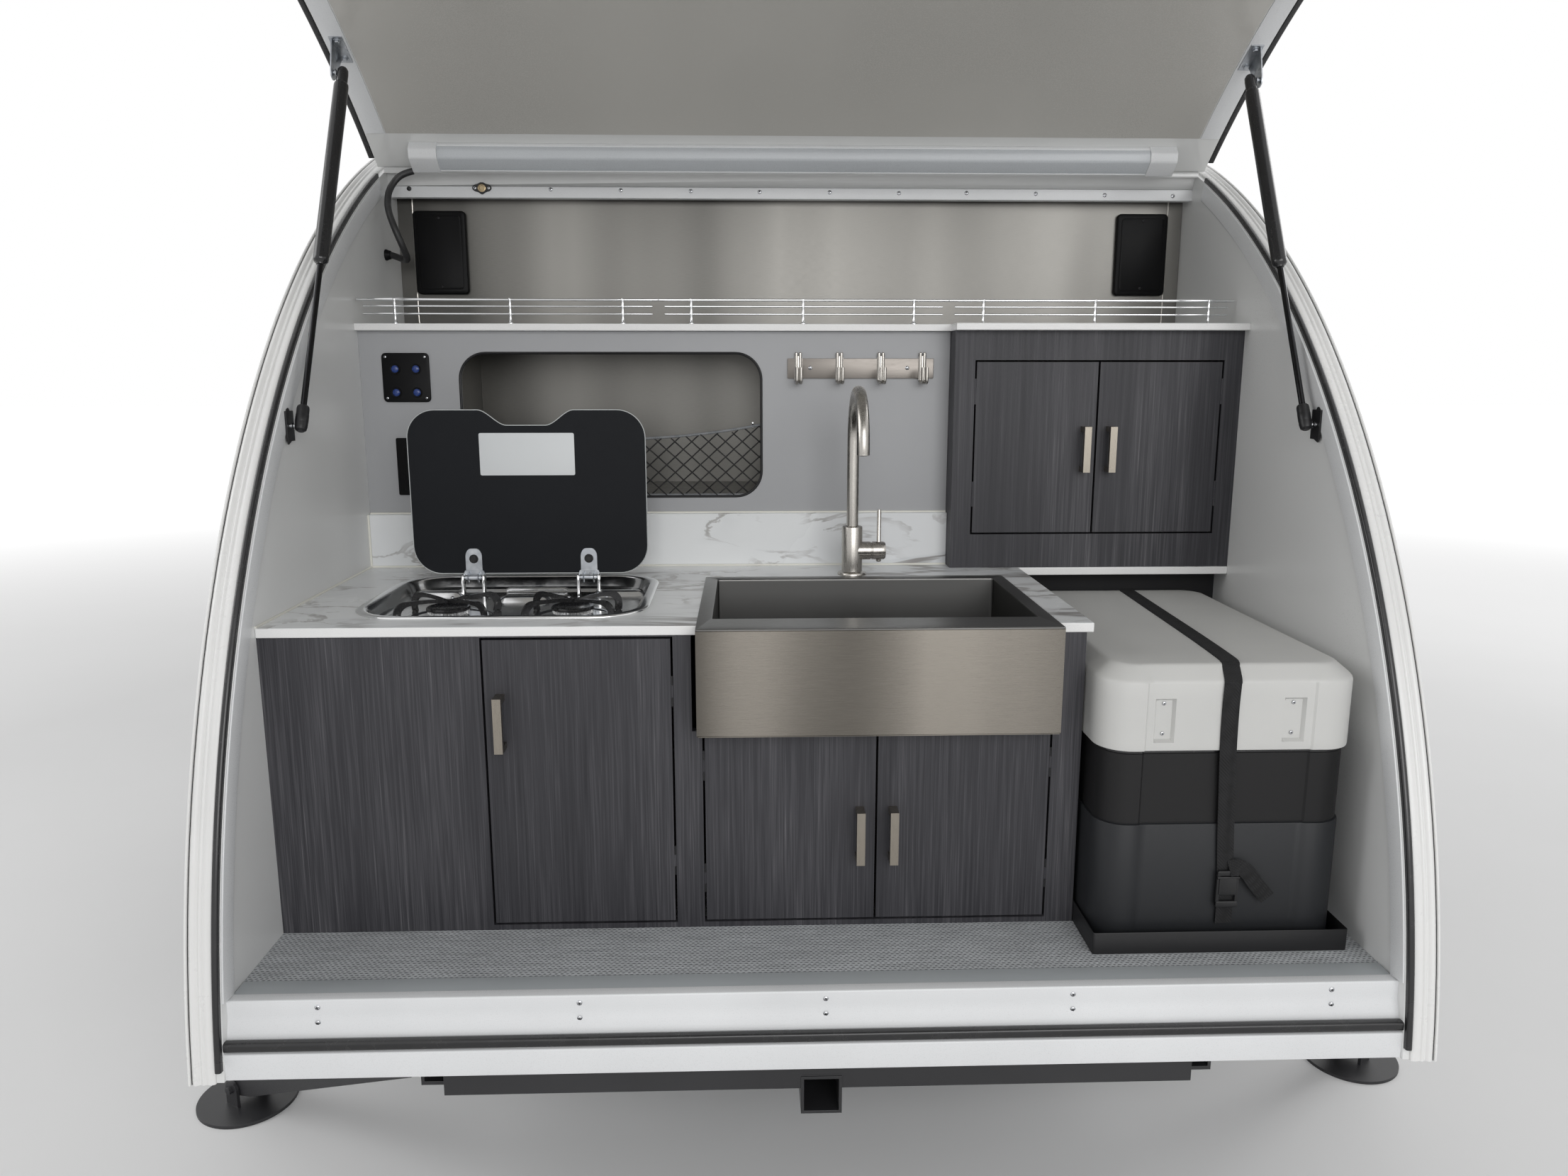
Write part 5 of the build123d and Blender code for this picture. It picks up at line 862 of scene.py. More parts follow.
# Rubber seal: a bulb along each wall and one along the sill
bulb = [(838.5, 0.0), (838.9, 3.0), (838.5, 5.2), (839.6, 7.3), (841.6, 8.0), (844.6, 8.0), (846.6, 7.2),
        (847.5, 5.2), (847.1, 3.0), (847.5, 0.0)]
seal_line, seal_normal = rear_line(np.linspace(25.2, TAIL_END, 90))
seal_foot = seal_line[-1:] - (seal_line[-1:, 1:] + 84.0) * np.array([0.09, 1.0])
seal_line = np.concatenate([seal_line, seal_foot])
seal_normal = np.concatenate([seal_normal, seal_normal[-1:]])
sill_bulb = softened([(-219, -65), (-205, -65), (-205, -51), (-219, -51)], 4.5, 5)
piece("body_seal", joined(both(strip(bulb, seal_line, seal_normal)), section(sill_bulb, -INNER, INNER)),
      "black rubber", "body_seal", smooth=50)

# Opening frame: header, stepped sill, and a rounded return strip along each wall
header = softened([(790, 1221), (812, 1221), (812, 1252.4), (790, 1242.8)], 1.2)
sill = softened([(-192, 0), (-178, 0), (-178, 1.6), (-196, 1.6), (-196, -24), (-204, -48), (-205, -66),
                 (-218, -68), (-218, -107), (-214, -107), (-192, -57)],
                 [0.2, 0.2, 0.5, 2.5, 8, 5, 3, 2.5, 1, 1, 1], 4)
return_line, return_normal = rear_line(np.linspace(25.6, 81.5, 80))
return_strip = softened([(834.5, -34), (834.5, -0.6), (837.5, -0.6), (837.5, -34)], 1.3)
# A thin grey strip where each return strip ends on the wall: painted shade of the gap there.
return_gap = [(836.4, -35.6), (837.4, -35.6), (837.4, -34.2), (836.4, -34.2)]
piece("return_gap", both(strip(return_gap, return_line, return_normal)), "border grey")
piece("opening_frame", joined(section(header, -INNER, INNER), section(sill, -INNER, INNER),
                              both(strip(return_strip, return_line, return_normal))),
      "frame white", "opening_frame")

# Threshold strip between the floor covering and the sill
threshold = softened([(-179, 0.05), (-143, 0.05), (-143, 1.2), (-179, 1.2)], 0.4)
piece("threshold_strip", section(threshold, -836, 836), "threshold")

# Screws of the header and the sill, and the keeper of the hatch latch
HEADER_SCREWS = ((-506, 1238), (-362, 1237), (-217, 1236), (-74, 1235), (72, 1235), (217, 1234), (359, 1235),
                 (505, 1234), (651, 1232), (796, 1231))
SILL_SCREW_X = (-712, -345, 5, 361, 739)
SCREW_TURN = 0.4


def screw_row(name, places, radius=4.2, up=Z, finish="steel"):
    """Dome heads at several places, and on each a black cross as painted shade of its recess, as two pieces.
    """
    dome, recess_shade = screw(radius)
    piece(name, at_each(dome, places, up=up), finish)
    piece(name + "_recesses", at_each(spun(recess_shade, SCREW_TURN), places, up=up), "black matt")


screw_row("header_screws", [(x, 790.0, z) for x, z in HEADER_SCREWS])
screw_row("sill_screws", [(x, -196.0, -10.0) for x in SILL_SCREW_X], radius=4.0)
screw_row("sill_lower_screws", [(x, -198.6, -32.0) for x in SILL_SCREW_X], radius=4.0, up=(0, -8, 24))
end_cap = turned([(4.6, 0), (4.6, 1.6), (3.0, 2.6), (0.01, 2.8)], 20)
piece("header_end_cap", placed(end_cap, (-796, 790, 1238)), "black satin")
KEEPER = (-647, 790, 1240)
keeper_outline = softened([(-21, 0), (-16, 6.5), (-8, 8), (0, 14), (8, 8), (16, 6.5), (21, 0), (16, -6.5),
                           (8, -8), (0, -14), (-8, -8), (-16, -6.5)], 5, 4)
piece("latch_keeper", placed(slab(keeper_outline, 2.2, 0.6), KEEPER), "black satin")
keeper_cup = turned([(8.4, 2.0), (8.4, 3.6), (7.2, 4.2), (5.2, 4.0), (4.6, 2.6), (0.01, 2.6)], 28)
piece("latch_keeper_cup", placed(keeper_cup, KEEPER), "brass")
screw_row("latch_keeper_screws", [(-661, 788.0, 1240), (-633, 788.0, 1240)], radius=3.4)

HATCH_HALF, HATCH_FOOT = 848.0, 84.18


# Hatch: the curved shell with its rolled hinge end, rim strips inside, and the rubber along its edges
def on_hatch(slopes, out=0.0):
    """Points of the opened hatch at slopes and distances from the roofline, with their normals."""
    line, normal = rear_line(slopes, out)
    return opened(line), opened(line + normal) - opened(line)


hatch_line, hatch_normal = on_hatch(np.linspace(24.0, HATCH_FOOT, 110))
shell = softened([(-HATCH_HALF, 10), (HATCH_HALF, 10), (HATCH_HALF, 24), (-HATCH_HALF, 24)], 1.5, 4)
roll = HINGE + 7.0 * circle(28)
piece("hatch_shell", joined(strip(shell, hatch_line, hatch_normal), section(roll, -HATCH_HALF, HATCH_HALF)),
      "hatch white", "hatch")
edge_line, edge_normal = on_hatch(np.linspace(24.6, HATCH_FOOT, 110))
edge_rubber = softened([(848, 10), (858, 10), (860, 12), (860, 24), (856, 26), (848, 25.5)], 2.0, 4)
piece("hatch_edge_rubber", both(strip(edge_rubber, edge_line, edge_normal)), "black rubber", "hatch_edge",
      smooth=50)
rim = softened([(808, 8.2), (846, 8.2), (846, 10.4), (808, 10.4)], 1.0, 3)
rim_line, rim_normal = on_hatch(np.linspace(26.6, 83.6, 100))
piece("hatch_rim_strips", both(strip(rim, rim_line, rim_normal)), "frame white", body="hatch")
# The lining under the hatch is coloured darker than the hatch's white as painted shade.
piece("hatch_lining", strip([(-806, 9.2), (806, 9.2), (806, 10.4), (-806, 10.4)], rim_line, rim_normal),
      "hatch lining", body="hatch")

# Light bar: a slim diffuser in a channel between two end caps
BAR_HALF = 757.0
bar_slope = 24.0 + math.degrees((14.0 + 23.0) / (ROOF_R + 10.0))


def bar_section(corners, radius):
    """A section of (along the hatch, depth below it) in side view, with the hatch opened."""
    middle, normal = rear_line(np.array(bar_slope), 10.0)
    along = np.array([-normal[1], normal[0]])
    corners = softened(corners, radius, 4)
    return opened(middle + corners[:, :1] * along - corners[:, 1:] * normal)


channel = bar_section([(-23, 0.3), (23, 0.3), (23, 7), (20.5, 8.5), (-20.5, 8.5), (-23, 7)], 1.0)
lens = bar_section([(-21, 6), (21.6, 6), (21.6, 16.5), (11, 29.6), (-21, 29.6)], [1, 1, 3, 4, 3])
lip = bar_section([(-23, 24), (-19.5, 24), (-19.5, 30.4), (-23, 30.4)], 1.0)
cap = bar_section([(-25, 0.3), (25, 0.3), (25, 18.5), (13, 32), (-25, 32)], [1, 1, 3, 4, 3])
piece("light_bar_lens", section(lens, -BAR_HALF, BAR_HALF), "diffuser", "light_bar")
piece("light_bar_channel", joined(section(channel, -BAR_HALF, BAR_HALF), section(lip, -BAR_HALF, BAR_HALF)),
      "frame white", body="hatch")
piece("light_bar_caps", both(section(cap, 713, 768)), "frame white", body="hatch", bevel=1.5)

# Cabinet fronts: softened boards, with the pulls and hinge knuckles in their own metal
DOOR_FACES = {"cabinet_door": 0.0, "sink_door_left": 0.0, "sink_door_right": 0.0, "upper_door_left": 483.0,
              "upper_door_right": 483.0}
for door, face in DOOR_FACES.items():
    dressed(door, 0.7, ("pull nickel", lambda centre, face=face: centre[:, 1] < face - 6.0))
dressed("cabinets", 0.6, ("black satin", lambda centre: centre[:, 1] < -0.1))
dressed("countertop", 1.6, ("edge white", lambda centre: centre[:, 2] < COUNTER - 1.0))
dressed("shelf", 1.2, ("edge white", lambda centre: centre[:, 2] < SHELF - 1.0))
dressed("bulkhead", 0.8)
# A black board on the bulkhead behind the cooler, to make that area dark: painted shade.
piece("niche_board", placed(plate(408, 180, 1, 2.4, 0.3), (632.0, BACK, 386.0)), "black matt")

# Silicone beads where the countertop meets the side walls and the backsplash
SPLASH_TOP, BEAD_LEFT, BEAD_RIGHT = 596.0, -836.4, 288.0
BEAD_BACK, BEAD_LOW = BACK - 16.0, COUNTER + 1.0
bead_corner = (BEAD_LEFT, BEAD_BACK, BEAD_LOW)
beads = [[(BEAD_LEFT, -2.0, BEAD_LOW), bead_corner], [bead_corner, (BEAD_LEFT, BEAD_BACK, SPLASH_TOP)],
         [bead_corner, (BEAD_RIGHT, BEAD_BACK, BEAD_LOW)],
         [(BEAD_LEFT, BACK - 0.6, SPLASH_TOP + 0.6), (BEAD_RIGHT, BACK - 0.6, SPLASH_TOP + 0.6)]]
piece("silicone_beads", joined(*(tube(bead, 2.4, 8) for bead in beads)), "caulk", smooth=80)

# Black edging of the pass-through opening: an edge trim, whose black also stands for the thin shadow along the
# edge as painted shade
opening = rounded(575.0, 275.0, 50.0, 12) + (-362.5, 765.5)
piece("opening_edging", tube(in_y(opening, BACK + 0.6), 2.6, 8, closed=True, side=Y), "black satin")

# Panel behind the shelf: a brushed sheet in a grey border with a rolled edge
dressed("inner_wall", 0.6, ("border grey", lambda centre: (np.abs(centre[:, 0]) > 806) & (centre[:, 1] < 841)))
border = [(-806, 962), (806, 962), (806, 1236), (-806, 1236)]
piece("panel_bead", tube(in_y(softened(border, 14.0, 6), 839.4), 1.8, 8, closed=True, side=Y), "nickel")


def sink_bowl():
    """Deck and basin as nested rings: under the deck, up round its rim, over the deck, down the wall and
    across the floor to the drain."""
    deck, bowl, drain = (94.5, 171.0), (94.5, 192.5), (95.0, 200.0)
    rings = [(10, 10, 5, drain, 289.0), (78, 78, 39, drain, 290.0), (84, 84, 42, drain, 292.0),
             (84, 84, 42, drain, 341.0), (486, 306, 20, bowl, 341.0), (511, 331, 14, bowl, 350.0),
             (511, 331, 14, bowl, 492.6), (549, 426, 2, deck, 492.6), (551, 428, 3, deck, 493.6),
             (551, 428, 3, deck, 495.0), (549, 426, 2.5, deck, 496.0), (508, 328, 5.5, bowl, 496.0),
             (505.6, 325.6, 4.5, bowl, 495.2), (505, 325, 4, bowl, 493.0), (503, 323, 7, bowl, 357.0),
             (500, 320, 8, bowl, 350.5), (492, 312, 9, bowl, 346.6), (478, 298, 12, bowl, 345.0),
             (96, 96, 48, drain, 342.4), (88, 88, 44, drain, 340.0), (82, 82, 41, drain, 334.0),
             (76, 76, 38, drain, 331.0), (30, 30, 15, drain, 330.0), (8, 8, 4, drain, 330.4)]
    return nested([(rounded(wide, deep, corner) + middle, height)
                   for wide, deep, corner, middle, height in rings])


def apron():
    """Front of the sink: a flat face whose last 22 mm at each end curve back, folded at top and bottom."""
    half, low, high = 275.5, 329.0, 494.6
    x = np.concatenate([np.linspace(0, half - 22, 6), np.linspace(half - 22, half, 14)[1:]])
    x = np.concatenate([-x[::-1], x[1:]])
    bow = 1.6 * np.clip((np.abs(x) - (half - 22)) / 22, 0, 1) ** 2.2
    z = np.concatenate([[low + 0.2, low], np.linspace(low + 2.2, high - 2.2, 9), [high, high - 0.2]])
    fold = np.concatenate([[14.0, 2.2], np.zeros(9), [2.2, 14.0]])
    y = -43.0 + bow[:, None] + fold[None]
    front = np.stack([np.broadcast_to(x[:, None], y.shape) + 94.5, y, np.broadcast_to(z, y.shape)], axis=-1)
    back = front[:, ::-1] + 1.5 * Y
    return grid(np.concatenate([front, back], axis=1), around=True, ends=True)


apron_ends = slab([(-43 + 2.2, 330), (-4, 330), (-4, 493), (-43 + 2.2, 493)], 1.6)
piece("sink_bowl", sink_bowl(), "bowl steel", "sink")
piece("sink_apron", joined(apron(), at_each(apron_ends, [(-181, 0, 0), (368.4, 0, 0)], Y),
                           section([(-42, 329), (-4, 329), (-4, 330.5), (-42, 330.5)], -179, 368)),
      "apron steel", smooth=40)
strainer = turned([(0.01, 331.5), (9, 332.6), (10, 331.6), (34, 331.6), (37, 333.4), (38, 332.0), (38, 330.6),
                   (0.01, 330.6)], 40)
piece("drain_strainer", moved(strainer, [95, 200, 0]), "chrome")

# Faucet
TAP = (93.0, 421.0, COUNTER)
neck_turn = np.linspace(0, math.pi, 40)
neck = np.concatenate([
    [(93, 421, 570), (93, 421, 640), (93, 421, 700)],
    np.column_stack([np.full(40, 93.0), 331.0 + 90.0 * np.cos(neck_turn), 743.0 + 90.0 * np.sin(neck_turn)]),
    [(93, 241, 736), (93, 241, 730)]])
body = turned([(0.01, 0), (27, 0), (27, 2.6), (25.8, 4.6), (21.5, 5.4), (19.5, 7), (19.5, 88), (18.6, 90.6),
               (16.2, 92), (11.6, 92.4), (11.6, 92), (0.01, 92)], 48)
spout = turned([(0.01, 0), (8.4, 0), (9.4, 0.8), (10.6, 1.2), (11.0, 3), (11.0, 12), (0.01, 12)], 32)
hub = turned([(0.01, 0), (17, 0), (17, 34), (15.6, 35), (15.6, 37), (17, 38), (17, 58), (15.4, 61.8),
              (10, 63), (0.01, 63)], 40)
lever = turned([(0.01, 0), (4.6, 0), (4.6, 6), (4.0, 7), (3.8, 74), (3.0, 77.4), (0.01, 78)], 20)
piece("faucet_body", joined(moved(body, TAP), tube(neck, 11.0, 28, side=X), moved(spout, (93, 241, 728.6)),
                            placed(hub, (93, 421, 538), Y), moved(lever, (143, 421, 538))),
      "nickel", "faucet", smooth=40)
piece("lever_nub", placed(turned([(0.01, 0), (5, 0), (5, 3), (3.6, 4.6), (0.01, 5)], 20), (143, 421, 521.4),
                          X, -Y), "nickel")

# Hob tray: rolled rim, sloping sides, pan with dishes round the burners, a rib behind and a ridge in front
HOB = np.array([-498.0, 237.0])
BURNERS = ((-596.0, 168.0, 0.0), (-392.0, 168.0, 0.0))
LID_HINGE_X = (-598.0, -391.0)


def tray():
    """Nested rings with 88 mm corners: under the pan, over the rolled rim and down the slope to the pan."""
    def ring(inset, corner):
        return rounded(470 - 2 * inset, 368 - 2 * inset, corner, 14) + HOB

    over = [(0, 88, 493.2), (0.2, 88, 494.6), (1.6, 86.6, 495.8), (4, 84, 496.2), (12, 77, 496.0),
            (15.5, 74, 495.2), (17.5, 72, 492.5), (20, 70, 487), (24, 67, 478), (26.5, 65, 473.4),
            (30, 62, 471.3), (36, 58, 471.0)]
    rings = [(ring(150, 20), 468.6), (ring(34, 58), 468.6), (ring(24, 66), 472), (ring(15, 73), 492.8),
             *((ring(inset, corner), height) for inset, corner, height in over), (ring(150, 20), 471.0)]
    return nested(rings)


dish = turned([(58, 470.8), (60, 472.2), (64, 473.0), (69, 472.2), (72, 470.8)], 56)
dishes = copies(dish, BURNERS)
rib = tube([(-545, 380, 474), (-540, 380, 476), (-440, 380, 476.6), (-435, 380, 474)], 6, 10, flat=0.6)
ridge = tube(spline([(-530, 92, 472), (-524, 93, 479), (-506, 94, 481), (-488, 94, 481), (-470, 93, 479),
                     (-464, 92, 472)], 5), 5.0, 10)
shoulder = nested([(rounded(96, 40, 16, 6), 470.8), (rounded(84, 30, 12, 6), 478.0),
                   (rounded(70, 20, 8, 6), 480.5)])
shoulders = copies(shoulder, [(-660, 350, 0), (-496, 300, 0), (-336, 350, 0)])
lug = slab(softened([(-9, 0), (9, 0), (8, 30), (6, 38), (-6, 38), (-8, 30)], 4), 4.0)
lugs = at_each(lug, [(x + shift - 2, 352, 471) for x in LID_HINGE_X for shift in (-18.5, 18.5)], Y)
piece("hob_tray", joined(tray(), dishes, rib, ridge, shoulders, lugs), "pan steel", "hob_tray", smooth=50)
screw_row("hob_screws", [(x + shift, 330, 471) for x in LID_HINGE_X for shift in (-34, 34)], radius=3.6, up=Y)


def toothed(inner, outer, low, high, teeth=30):
    """A ring with a soft square wave for its edge: middle + half the step * tanh(6 sin(teeth * angle))."""
    turn = np.linspace(0, 2 * math.pi, teeth * 8, endpoint=False)
    step = np.tanh(6 * np.sin(teeth * turn))
    radius = (outer + inner) / 2 + (outer - inner) / 2 * step
    ring = circle(len(turn))
    return nested([(ring * radius[:, None], low), (ring * radius[:, None], high),
                   (ring * inner * 0.97, high + 0.4)])


cap_rings = turned([(0.01, 483.6), (34, 483.6), (35.4, 484.8), (35.4, 487.4), (33.6, 489.4), (29, 489.9),
                    (27.6, 489.3), (0.01, 489.3)], 56)
base_cup = turned([(0.01, 471), (34, 471), (33, 474), (29, 476), (29, 479), (0.01, 479)], 48)
teeth = toothed(29.6, 33.4, 478.6, 483.4)
piece("burner_caps", copies(cap_rings, BURNERS), "black enamel", "burners")
piece("burner_rings", copies(joined(base_cup, teeth), BURNERS), "pan steel")


def grate():
    """Two crossed plates with bent arms: each is a flat outline that follows a smooth bow, 4 mm thick."""
    top = 505.0 - 471.0
    bow = spline([(-90, 1), (-91, 12), (-88, 24), (-78, top - 1), (-60, top), (-25, top - 2), (0, top - 5),
                  (25, top - 2), (60, top), (78, top - 1), (88, 24), (91, 12), (90, 1)], 4)
    under = spline([(77, 1), (79, 10), (77, 19), (68, top - 8.5), (50, top - 6.5), (25, top - 7.5),
                    (0, top - 10), (-25, top - 7.5), (-50, top - 6.5), (-68, top - 8.5), (-77, 19), (-79, 10),
                    (-77, 1)], 4)
    arms = slab(np.concatenate([bow, under]), 4.0, 0.0)
    parts = []
    for turn in (35.0, 145.0):
        turn = math.radians(turn)
        across = np.array([math.cos(turn), math.sin(turn), 0])
        parts.append(placed(arms, -2.0 * np.cross(across, Z), across))
        for end in (-84.0, 84.0):
            rivet = turned([(2.6, -2.9), (3.2, -2.5), (3.2, 2.5), (2.6, 2.9), (0.01, 3.0)], 14)
            parts.append(placed(rivet, across * end + 13.0 * Z, across))
    foot = turned([(0.01, -0.1), (4.4, -0.1), (4.8, 1.2), (3.0, 3.0), (0.01, 3.2)], 14)
    for turn in np.radians([35.0, 145.0, 215.0, 325.0]):
        parts.append(moved(foot, [84 * math.cos(turn), 84 * math.sin(turn), 0]))
    return joined(*parts)


piece("grates", copies(moved(grate(), (0, 0, 471)), BURNERS), "black enamel", smooth=40)

# Glass lid: rounded sheet with an S-sided dip, a pale ground edge, a blank label, and its two hinge straps
LID_X, LID_LOW, LID_HIGH, LID_BACK = -494.5, 509.0, 802.0, 367.0
dip_t = np.linspace(0, 1, 14)
dip_side = np.column_stack([85.0 - 51.0 * dip_t, -27.0 * (3 * dip_t**2 - 2 * dip_t**3)])


def lid_outline(inset=0.0):
    """Rectangle with 50 mm corners, and a dip whose sides follow 3t^2 - 2t^3."""
    tall = LID_HIGH - LID_LOW - 2 * inset
    arcs = rounded(420.0 - 2 * inset, tall, 50.0 - inset, 12).reshape(4, 12, 2)
    right, left = (dip_side * (side, 1) + (0.0, tall / 2) for side in (1, -1))
    outline = np.concatenate([arcs[3], arcs[0], right, left[::-1], arcs[1], arcs[2]])
    return outline + (LID_X, (LID_LOW + LID_HIGH) / 2)


lid_ring = lid_outline()
faces_y = [(lid_outline(0.9), LID_BACK), (lid_ring, LID_BACK - 0.9), (lid_ring, LID_BACK - 4.1),
           (lid_outline(0.9), LID_BACK - 5.0)]
sheet = grid(np.stack([in_y(ring, y) for ring, y in faces_y]), around=True, ends=True)
piece("hob_lid_glass", sheet, "lid glass", "hob_lid")
piece("hob_lid_edge", tube(in_y(lid_ring, LID_BACK - 4.5), 0.9, 6, closed=True, side=Y), "ground edge",
      body="hob_lid")
piece("hob_lid_label", placed(plate(168, 75, 3, 0.5, 0.15), (LID_X, LID_BACK - 5.0, 724.0)), "label",
      body="hob_lid")
straps, bolts = [], []
for hinge_x in LID_HINGE_X:
    head = softened([(-15, 0), (15, 0), (15, 34), (9, 44), (-9, 44), (-15, 34)], [1, 1, 5, 8, 8, 5], 5)
    straps.append(placed(slab(head, 2.0), (hinge_x, LID_BACK - 5.0, 511)))
    flange = softened([(-20, -2), (20, -2), (17, 6), (-17, 6)], 2)
    straps.append(placed(slab(flange, 3.0), (hinge_x, LID_BACK - 5.4, 509)))
    for shift in (-9.0, 9.0):
        bend = spline([(361, 511), (358.5, 507), (356, 505.5), (353, 507.5), (350.5, 505), (349.6, 502),
                       (351, 498), (354, 497)], 4)
        straps.append(tube(in_x(bend, hinge_x + shift), 4.5, 8, flat=0.3, side=X))
    straps.append(tube([(hinge_x - 14, 352, 503), (hinge_x + 14, 352, 503)], 4.4, 16))
    bolts.append(placed(hex_head(6.0, 5.0), (hinge_x, LID_BACK - 7.0, 536)))
piece("hob_lid_straps", joined(*straps), "zinc", "lid_hinges", smooth=45)
piece("hob_lid_bolts", joined(*bolts), "black satin", body="hob_lid")
pins = joined(*(tube([(x - 19, 352, 503), (x + 19, 352, 503)], 2.5, 14) for x in LID_HINGE_X))
piece("hob_lid_pins", pins, "zinc")

# Cargo net: two families of crossing cords that pass over and under, and a sagging top cord
NET_LOW, NET_STEP, NET_SLOPE, NET_Y = 628.6, 33.0, 1.1, 554.8
NET_LEFT, NET_RIGHT = -657.0, -68.0


def net_top(x):
    """Height of the top cord: a parabola lowest in the middle."""
    return 739.0 + 28.0 * ((np.asarray(x) + 362.5) / 290.0) ** 2


def net_strand(start, lean):
    """One cord up the net: x = start + lean * slope * rise, with a small wave in depth, kept in the frame."""
    z = np.linspace(NET_LOW, 768.0, 36)
    x = start + lean * NET_SLOPE * (z - NET_LOW)
    keep = (x > NET_LEFT) & (x < NET_RIGHT) & (z < net_top(x))
    z, x = z[keep], x[keep]
    y = NET_Y + lean * 1.1 * np.cos(math.pi * (z - NET_LOW) / 15.0)
    return np.column_stack([x, y, z])


strands = [net_strand(start, lean) for lean in (-1, 1)
           for start in np.arange(NET_LEFT - 5 * NET_STEP, NET_RIGHT + 5 * NET_STEP, NET_STEP)]
strands = [strand for strand in strands if len(strand) > 2]
cords = joined(*(tube(strand, 1.45, 6) for strand in strands))
net = piece("cargo_net", cords, "net cord", "cargo_net", smooth=80)
top_x = np.linspace(NET_LEFT + 3, NET_RIGHT - 3, 50)
top_cord = tube(in_y(np.column_stack([top_x, net_top(top_x)]), 555.0), 2.6, 8)
foot_cord = tube([(NET_LEFT + 3, 555, NET_LOW + 1.4), (NET_RIGHT - 3, 555, NET_LOW + 1.4)], 2.2, 8)
piece("net_edge_cords", joined(top_cord, foot_cord), "grey cord", smooth=80)
hook = spline([(553.2, 770), (557, 769), (559, 764), (556, 760), (552.5, 761)], 5)
piece("net_hooks", joined(*(tube(in_x(hook, x), 1.3, 8) for x in (-92.0, -633.0))), "steel")


# Hook rack: a flat bar with four hooks, each of two bent round bars side by side on a small plate
rack = placed(plate(282, 38, 2, 3.0, 0.6), (116, 538, 874))
hook_bars, hook_feet = [], []
for hook_x in (-4.0, 75.0, 155.0, 235.0):
    for shift in (-3.9, 3.9):
        bar = [(532.6, 902), (532.2, 899), (532.2, 856), (531, 850), (526, 847.5), (505, 847.2),
               (499.5, 849.5), (497.6, 855), (497.4, 876)]
        hook_bars.append(tube(in_x(spline(bar, 6), hook_x + shift), 2.9, 12, side=X))
    hook_feet.append(placed(plate(15, 48, 3, 2.6, 0.5), (hook_x, 535.4, 874)))
piece("hook_rack", rack, "rack grey", "hook_rack", smooth=40)
piece("rack_hooks", joined(*hook_bars, *hook_feet), "nickel", smooth=40)
screw_row("rack_screws", [(19, 535, 875), (206, 535, 875)], radius=4.0)

# Switch plate with four buttons in shallow rings, outlet plate, and two speakers
SWITCH_X, OUTLET_X = -750.5, -734.0
CORNERS = [(sx, sz) for sx in (-1, 1) for sz in (-1, 1)]
switch_plate = placed(plate(89, 92, 8, 4.0, 0.9), (SWITCH_X, BACK, 857))
outlet_plate = placed(plate(88, 110, 3, 4.0, 0.9), (OUTLET_X, BACK, 688))
outlet_face = placed(plate(62, 84, 4, 2.0, 0.6), (OUTLET_X, BACK - 3.6, 684))
grommet = turned([(0.01, 0), (11, 0), (11, 3), (9.6, 6), (8.4, 10.6), (6.8, 11), (6.4, 10), (0.01, 10)], 30)
piece("wall_plates", joined(switch_plate, outlet_plate, outlet_face,
                            placed(grommet, (-INNER, 740, 1101.5), Y)),
      "black plastic", "wall_fittings")
button_ring = turned([(9.6, 0), (9.6, 1.4), (8.8, 2.2), (7.4, 2.0), (7.0, 0.6)], 36)
button = turned([(6.8, 0), (6.8, 2.2), (5.6, 3.4), (2.5, 4.0), (0.01, 4.1)], 28)
button_places = [(SWITCH_X + 19.5 * sx, 534.0, 851 + 22.0 * sz) for sx, sz in CORNERS]
piece("switch_rings", at_each(button_ring, button_places), "black plastic")
piece("switch_buttons", at_each(button, button_places), "button blue")
screw_row("switch_screws", [(SWITCH_X + sx * 37, 534, 857 + sz * 38.5) for sx, sz in CORNERS], radius=2.6)
screw_row("outlet_screws", [(OUTLET_X, 534, 727), (OUTLET_X, 534, 640)], radius=2.8)
speaker = joined(plate(110, 170, 9, 14.0, 4.5), plate(92, 150, 7, 15.0, 1.2, low=0.5))
piece("speakers", at_each(speaker, [(x, 840, 1115) for x in (-749, 749)]), "black plastic")
screw_row("speaker_screws", [(x, 825.0, 1115 + sz * 70) for x in (-749, 749) for sz in (-1, 1)],
          finish="black satin", radius=3.0)

# Gallery rails: three bars on posts with flanged feet and ball tops
RAIL_Y = 530.0
KNOB = ((0.01, -1.0), (0.8, -0.7), (1.05, 0), (0.8, 0.7), (0.01, 1.0))
rail_parts = []
for left, right, posts in ((-831, -270, (-762, -547, -336)), (-267, 281, (-207, 5, 216)),
                           (284, 831, (349, 564, 784))):
    for height, radius, inset in ((18.0, 1.7, 11.0), (32.0, 1.7, 11.0), (44.0, 2.5, 0.0)):
        start, stop = left + inset, right - inset
        bar = [(x, RAIL_Y, SHELF + height) for x in (start, (start + stop) / 2, stop)]
        knob = turned([(wide * radius, out * radius) for wide, out in KNOB], 12)
        rail_parts += [tube(bar, radius, 12), at_each(knob, bar[::2], Y)]
    post = turned([(0.01, 0), (6.2, 0), (6.2, 1.2), (3.6, 2.4), (2.6, 4), (2.6, 16), (3.3, 18), (2.6, 20),
                   (2.6, 30), (3.3, 32), (2.6, 34), (2.6, 42), (3.4, 44), (2.4, 46.4), (0.01, 47)], 18)
    rail_parts.append(copies(post, [(x, RAIL_Y, SHELF) for x in posts]))
piece("gallery_rails", joined(*rail_parts), "chrome", "gallery_rails", smooth=50)

# Fridge cooler: rings with round corners; a centre panel and two grips set into the front
COOLER = np.array([612.0, 215.0])
FRONT_X = np.array([481.5, 484.5, 495.0, 498.5, 522.5, 526.0, 687.5, 691.0, 717.5, 721.0, 732.0, 735.0])


